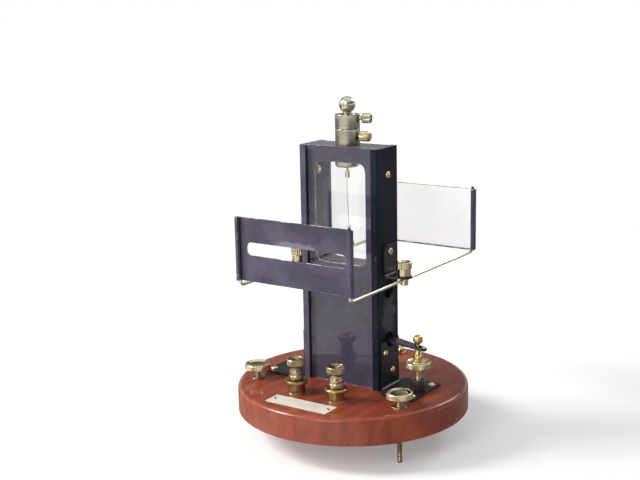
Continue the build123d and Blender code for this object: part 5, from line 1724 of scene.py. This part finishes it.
@dataclass
class Studio:
    """Pale floor, soft lamps, white surroundings and the camera at the photograph's place.

    Lengths are in metres and angles in degrees. The floor's own tone and its glow are those near the
    object; from fade_from to fade_to the glow rises to plain white and the tone falls to nothing.
    The bands are what polished pieces mirror: between the first height (or cosine) and the second
    the surroundings rise to white.
    """

    floor_height: float = -0.0195
    reach: float = 8.0
    fade_from: float = 0.30
    fade_to: float = 1.10
    near_tone: float = 0.80
    near_glow: float = 0.24
    bright_side: tuple[float, float] = (-0.10, -0.995)
    bright_cosines: tuple[float, float] = (0.93, 0.55)
    mirrored_dim: float = 0.72
    ambient: float = 0.34
    darkest: float = 0.10
    soft_side: tuple[float, float] = (-0.94, -0.34)
    low_band: tuple[float, float] = (0.28, 0.06)
    ceiling_band: tuple[float, float] = (0.45, 0.80)
    side_band: tuple[float, float] = (0.6, 0.9)
    band_glow: float = 0.9
    lens: float = 67.031
    sensor: float = 36.0
    place: tuple[float, float, float] = (0.433265, -0.662527, 0.291347)
    azimuth: float = 34.694
    down: float = 12.381
    roll: float = -1.174

    def floor(self) -> None:
        """Large square under the object, pale to every eye ray and plain to the light.

        Rays that a polished piece mirrors find it darker on the side away from the bright one.
        """
        mesh = bpy.data.meshes.new("floor")
        corners = rectangle((-self.reach, -self.reach), (self.reach, self.reach))
        mesh.from_pydata([(x, y, self.floor_height) for x, y in corners], [], [(0, 1, 2, 3)])
        thing = bpy.data.objects.new("floor", mesh)
        bpy.context.scene.collection.objects.link(thing)
        made = bpy.data.materials.new("floor_pale")
        made.use_nodes = True
        graph = Graph(made.node_tree)
        parts = graph.add("SeparateXYZ", Vector=graph.place()).outputs
        away = graph.length(parts[0], parts[1])
        far = graph.ramp(away, self.fade_from, self.fade_to)
        facing = graph.math("DIVIDE", graph.weighted((parts[0], parts[1]), self.bright_side), away)
        path = graph.add("LightPath").outputs
        mirrored = graph.math("MULTIPLY", path["Is Glossy Ray"],
                              graph.math("SUBTRACT", 1.0, path["Is Transmission Ray"]))
        sector = graph.ramp(facing, *self.bright_cosines, 0.0, self.mirrored_dim)
        lit = graph.math("SUBTRACT", 1.0, graph.math("MULTIPLY", mirrored, sector))
        near = graph.math("SUBTRACT", 1.0, far)
        tone = graph.math("MULTIPLY", near, graph.math("MULTIPLY", lit, self.near_tone))
        rise = graph.math("MULTIPLY", far, 1.0 - self.near_glow)
        glow = graph.math("MULTIPLY", lit, graph.math("ADD", rise, self.near_glow))
        sharp = graph.math("MAXIMUM", path["Is Glossy Ray"], path["Is Transmission Ray"])
        seen = graph.math("MAXIMUM", path["Is Camera Ray"], sharp)
        grey = graph.add("CombineColor", in_0=tone, in_1=tone, in_2=tone).outputs[0]
        shader = graph.add("BsdfPrincipled", Roughness=0.9, Specular_IOR_Level=0.1, Base_Color=grey,
                           Emission_Color=(1, 1, 1, 1),
                           Emission_Strength=graph.math("MULTIPLY", seen, glow))
        end = graph.add("OutputMaterial")
        graph.tree.links.new(shader.outputs[0], end.inputs[0])
        mesh.materials.append(made)

    def world(self) -> None:
        """White surroundings to the eye, with a darker band that gives metal its shape."""
        world = bpy.data.worlds.new("studio")
        bpy.context.scene.world = world
        world.use_nodes = True
        graph = Graph(world.node_tree)
        path = graph.add("LightPath").outputs
        parts = graph.add("SeparateXYZ", Vector=graph.add("TexCoord").outputs["Generated"]).outputs
        height = parts[2]
        low_glow = graph.ramp(height, *self.low_band, 0.0, 1.0)
        ceiling = graph.ramp(height, *self.ceiling_band, 0.0, self.band_glow)
        facing = graph.weighted((parts[0], parts[1]), self.soft_side)
        side = graph.ramp(facing, *self.side_band, 0.0, self.band_glow)
        brightest = graph.math("MAXIMUM", graph.math("MAXIMUM", low_glow, ceiling), side)
        glossy = graph.math("ADD", brightest, self.darkest)
        plain = graph.math("MAXIMUM", path["Is Camera Ray"], path["Is Transmission Ray"])
        extra = graph.math("MULTIPLY", path["Is Glossy Ray"], graph.math("SUBTRACT", glossy, self.ambient))
        soft = graph.math("ADD", extra, self.ambient)
        dimmed = graph.math("MULTIPLY", soft, graph.math("SUBTRACT", 1.0, plain))
        back = graph.add("Background", Color=(1, 1, 1, 1), Strength=graph.math("MAXIMUM", plain, dimmed))
        end = graph.add("OutputWorld")
        graph.tree.links.new(back.outputs[0], end.inputs[0])

    def camera(self) -> None:
        """Camera solved from the photograph's straight edges."""
        a, p, r = (math.radians(value) for value in (self.azimuth, self.down, self.roll))
        ahead = turned_way(p, turned_way(a, Y_AXIS, -X_AXIS), -Z_AXIS)
        level = turned_way(a, X_AXIS, Y_AXIS)
        above = np.cross(level, ahead)
        right, up = turned_way(r, level, above), turned_way(r, above, -level)
        data = bpy.data.cameras.new("camera")
        data.lens, data.sensor_width, data.clip_start = self.lens, self.sensor, 0.01
        thing = bpy.data.objects.new("camera", data)
        bpy.context.scene.collection.objects.link(thing)
        turn = Matrix(np.column_stack([right, up, -ahead]).tolist()).to_4x4()
        thing.matrix_world = Matrix.Translation(self.place) @ turn
        bpy.context.scene.camera = thing

    def build(self) -> None:
        """Builds the studio."""
        self.floor()
        self.world()
        for lamp in LAMPS:
            lamp.hang()
        self.camera()
        bpy.context.scene.view_settings.view_transform = "Standard"


def main() -> None:
    """Builds every sub-assembly, then the studio."""
    logging.basicConfig(level=logging.INFO, format="%(name)s %(message)s")
    for kind in (Base, Terminals, Tower, TorsionHead, Movement, ArrestGear, Carrier, Studio):
        LOG.info("building %s", kind.__name__)
        kind().build()


if __name__ == "__main__":
    main()
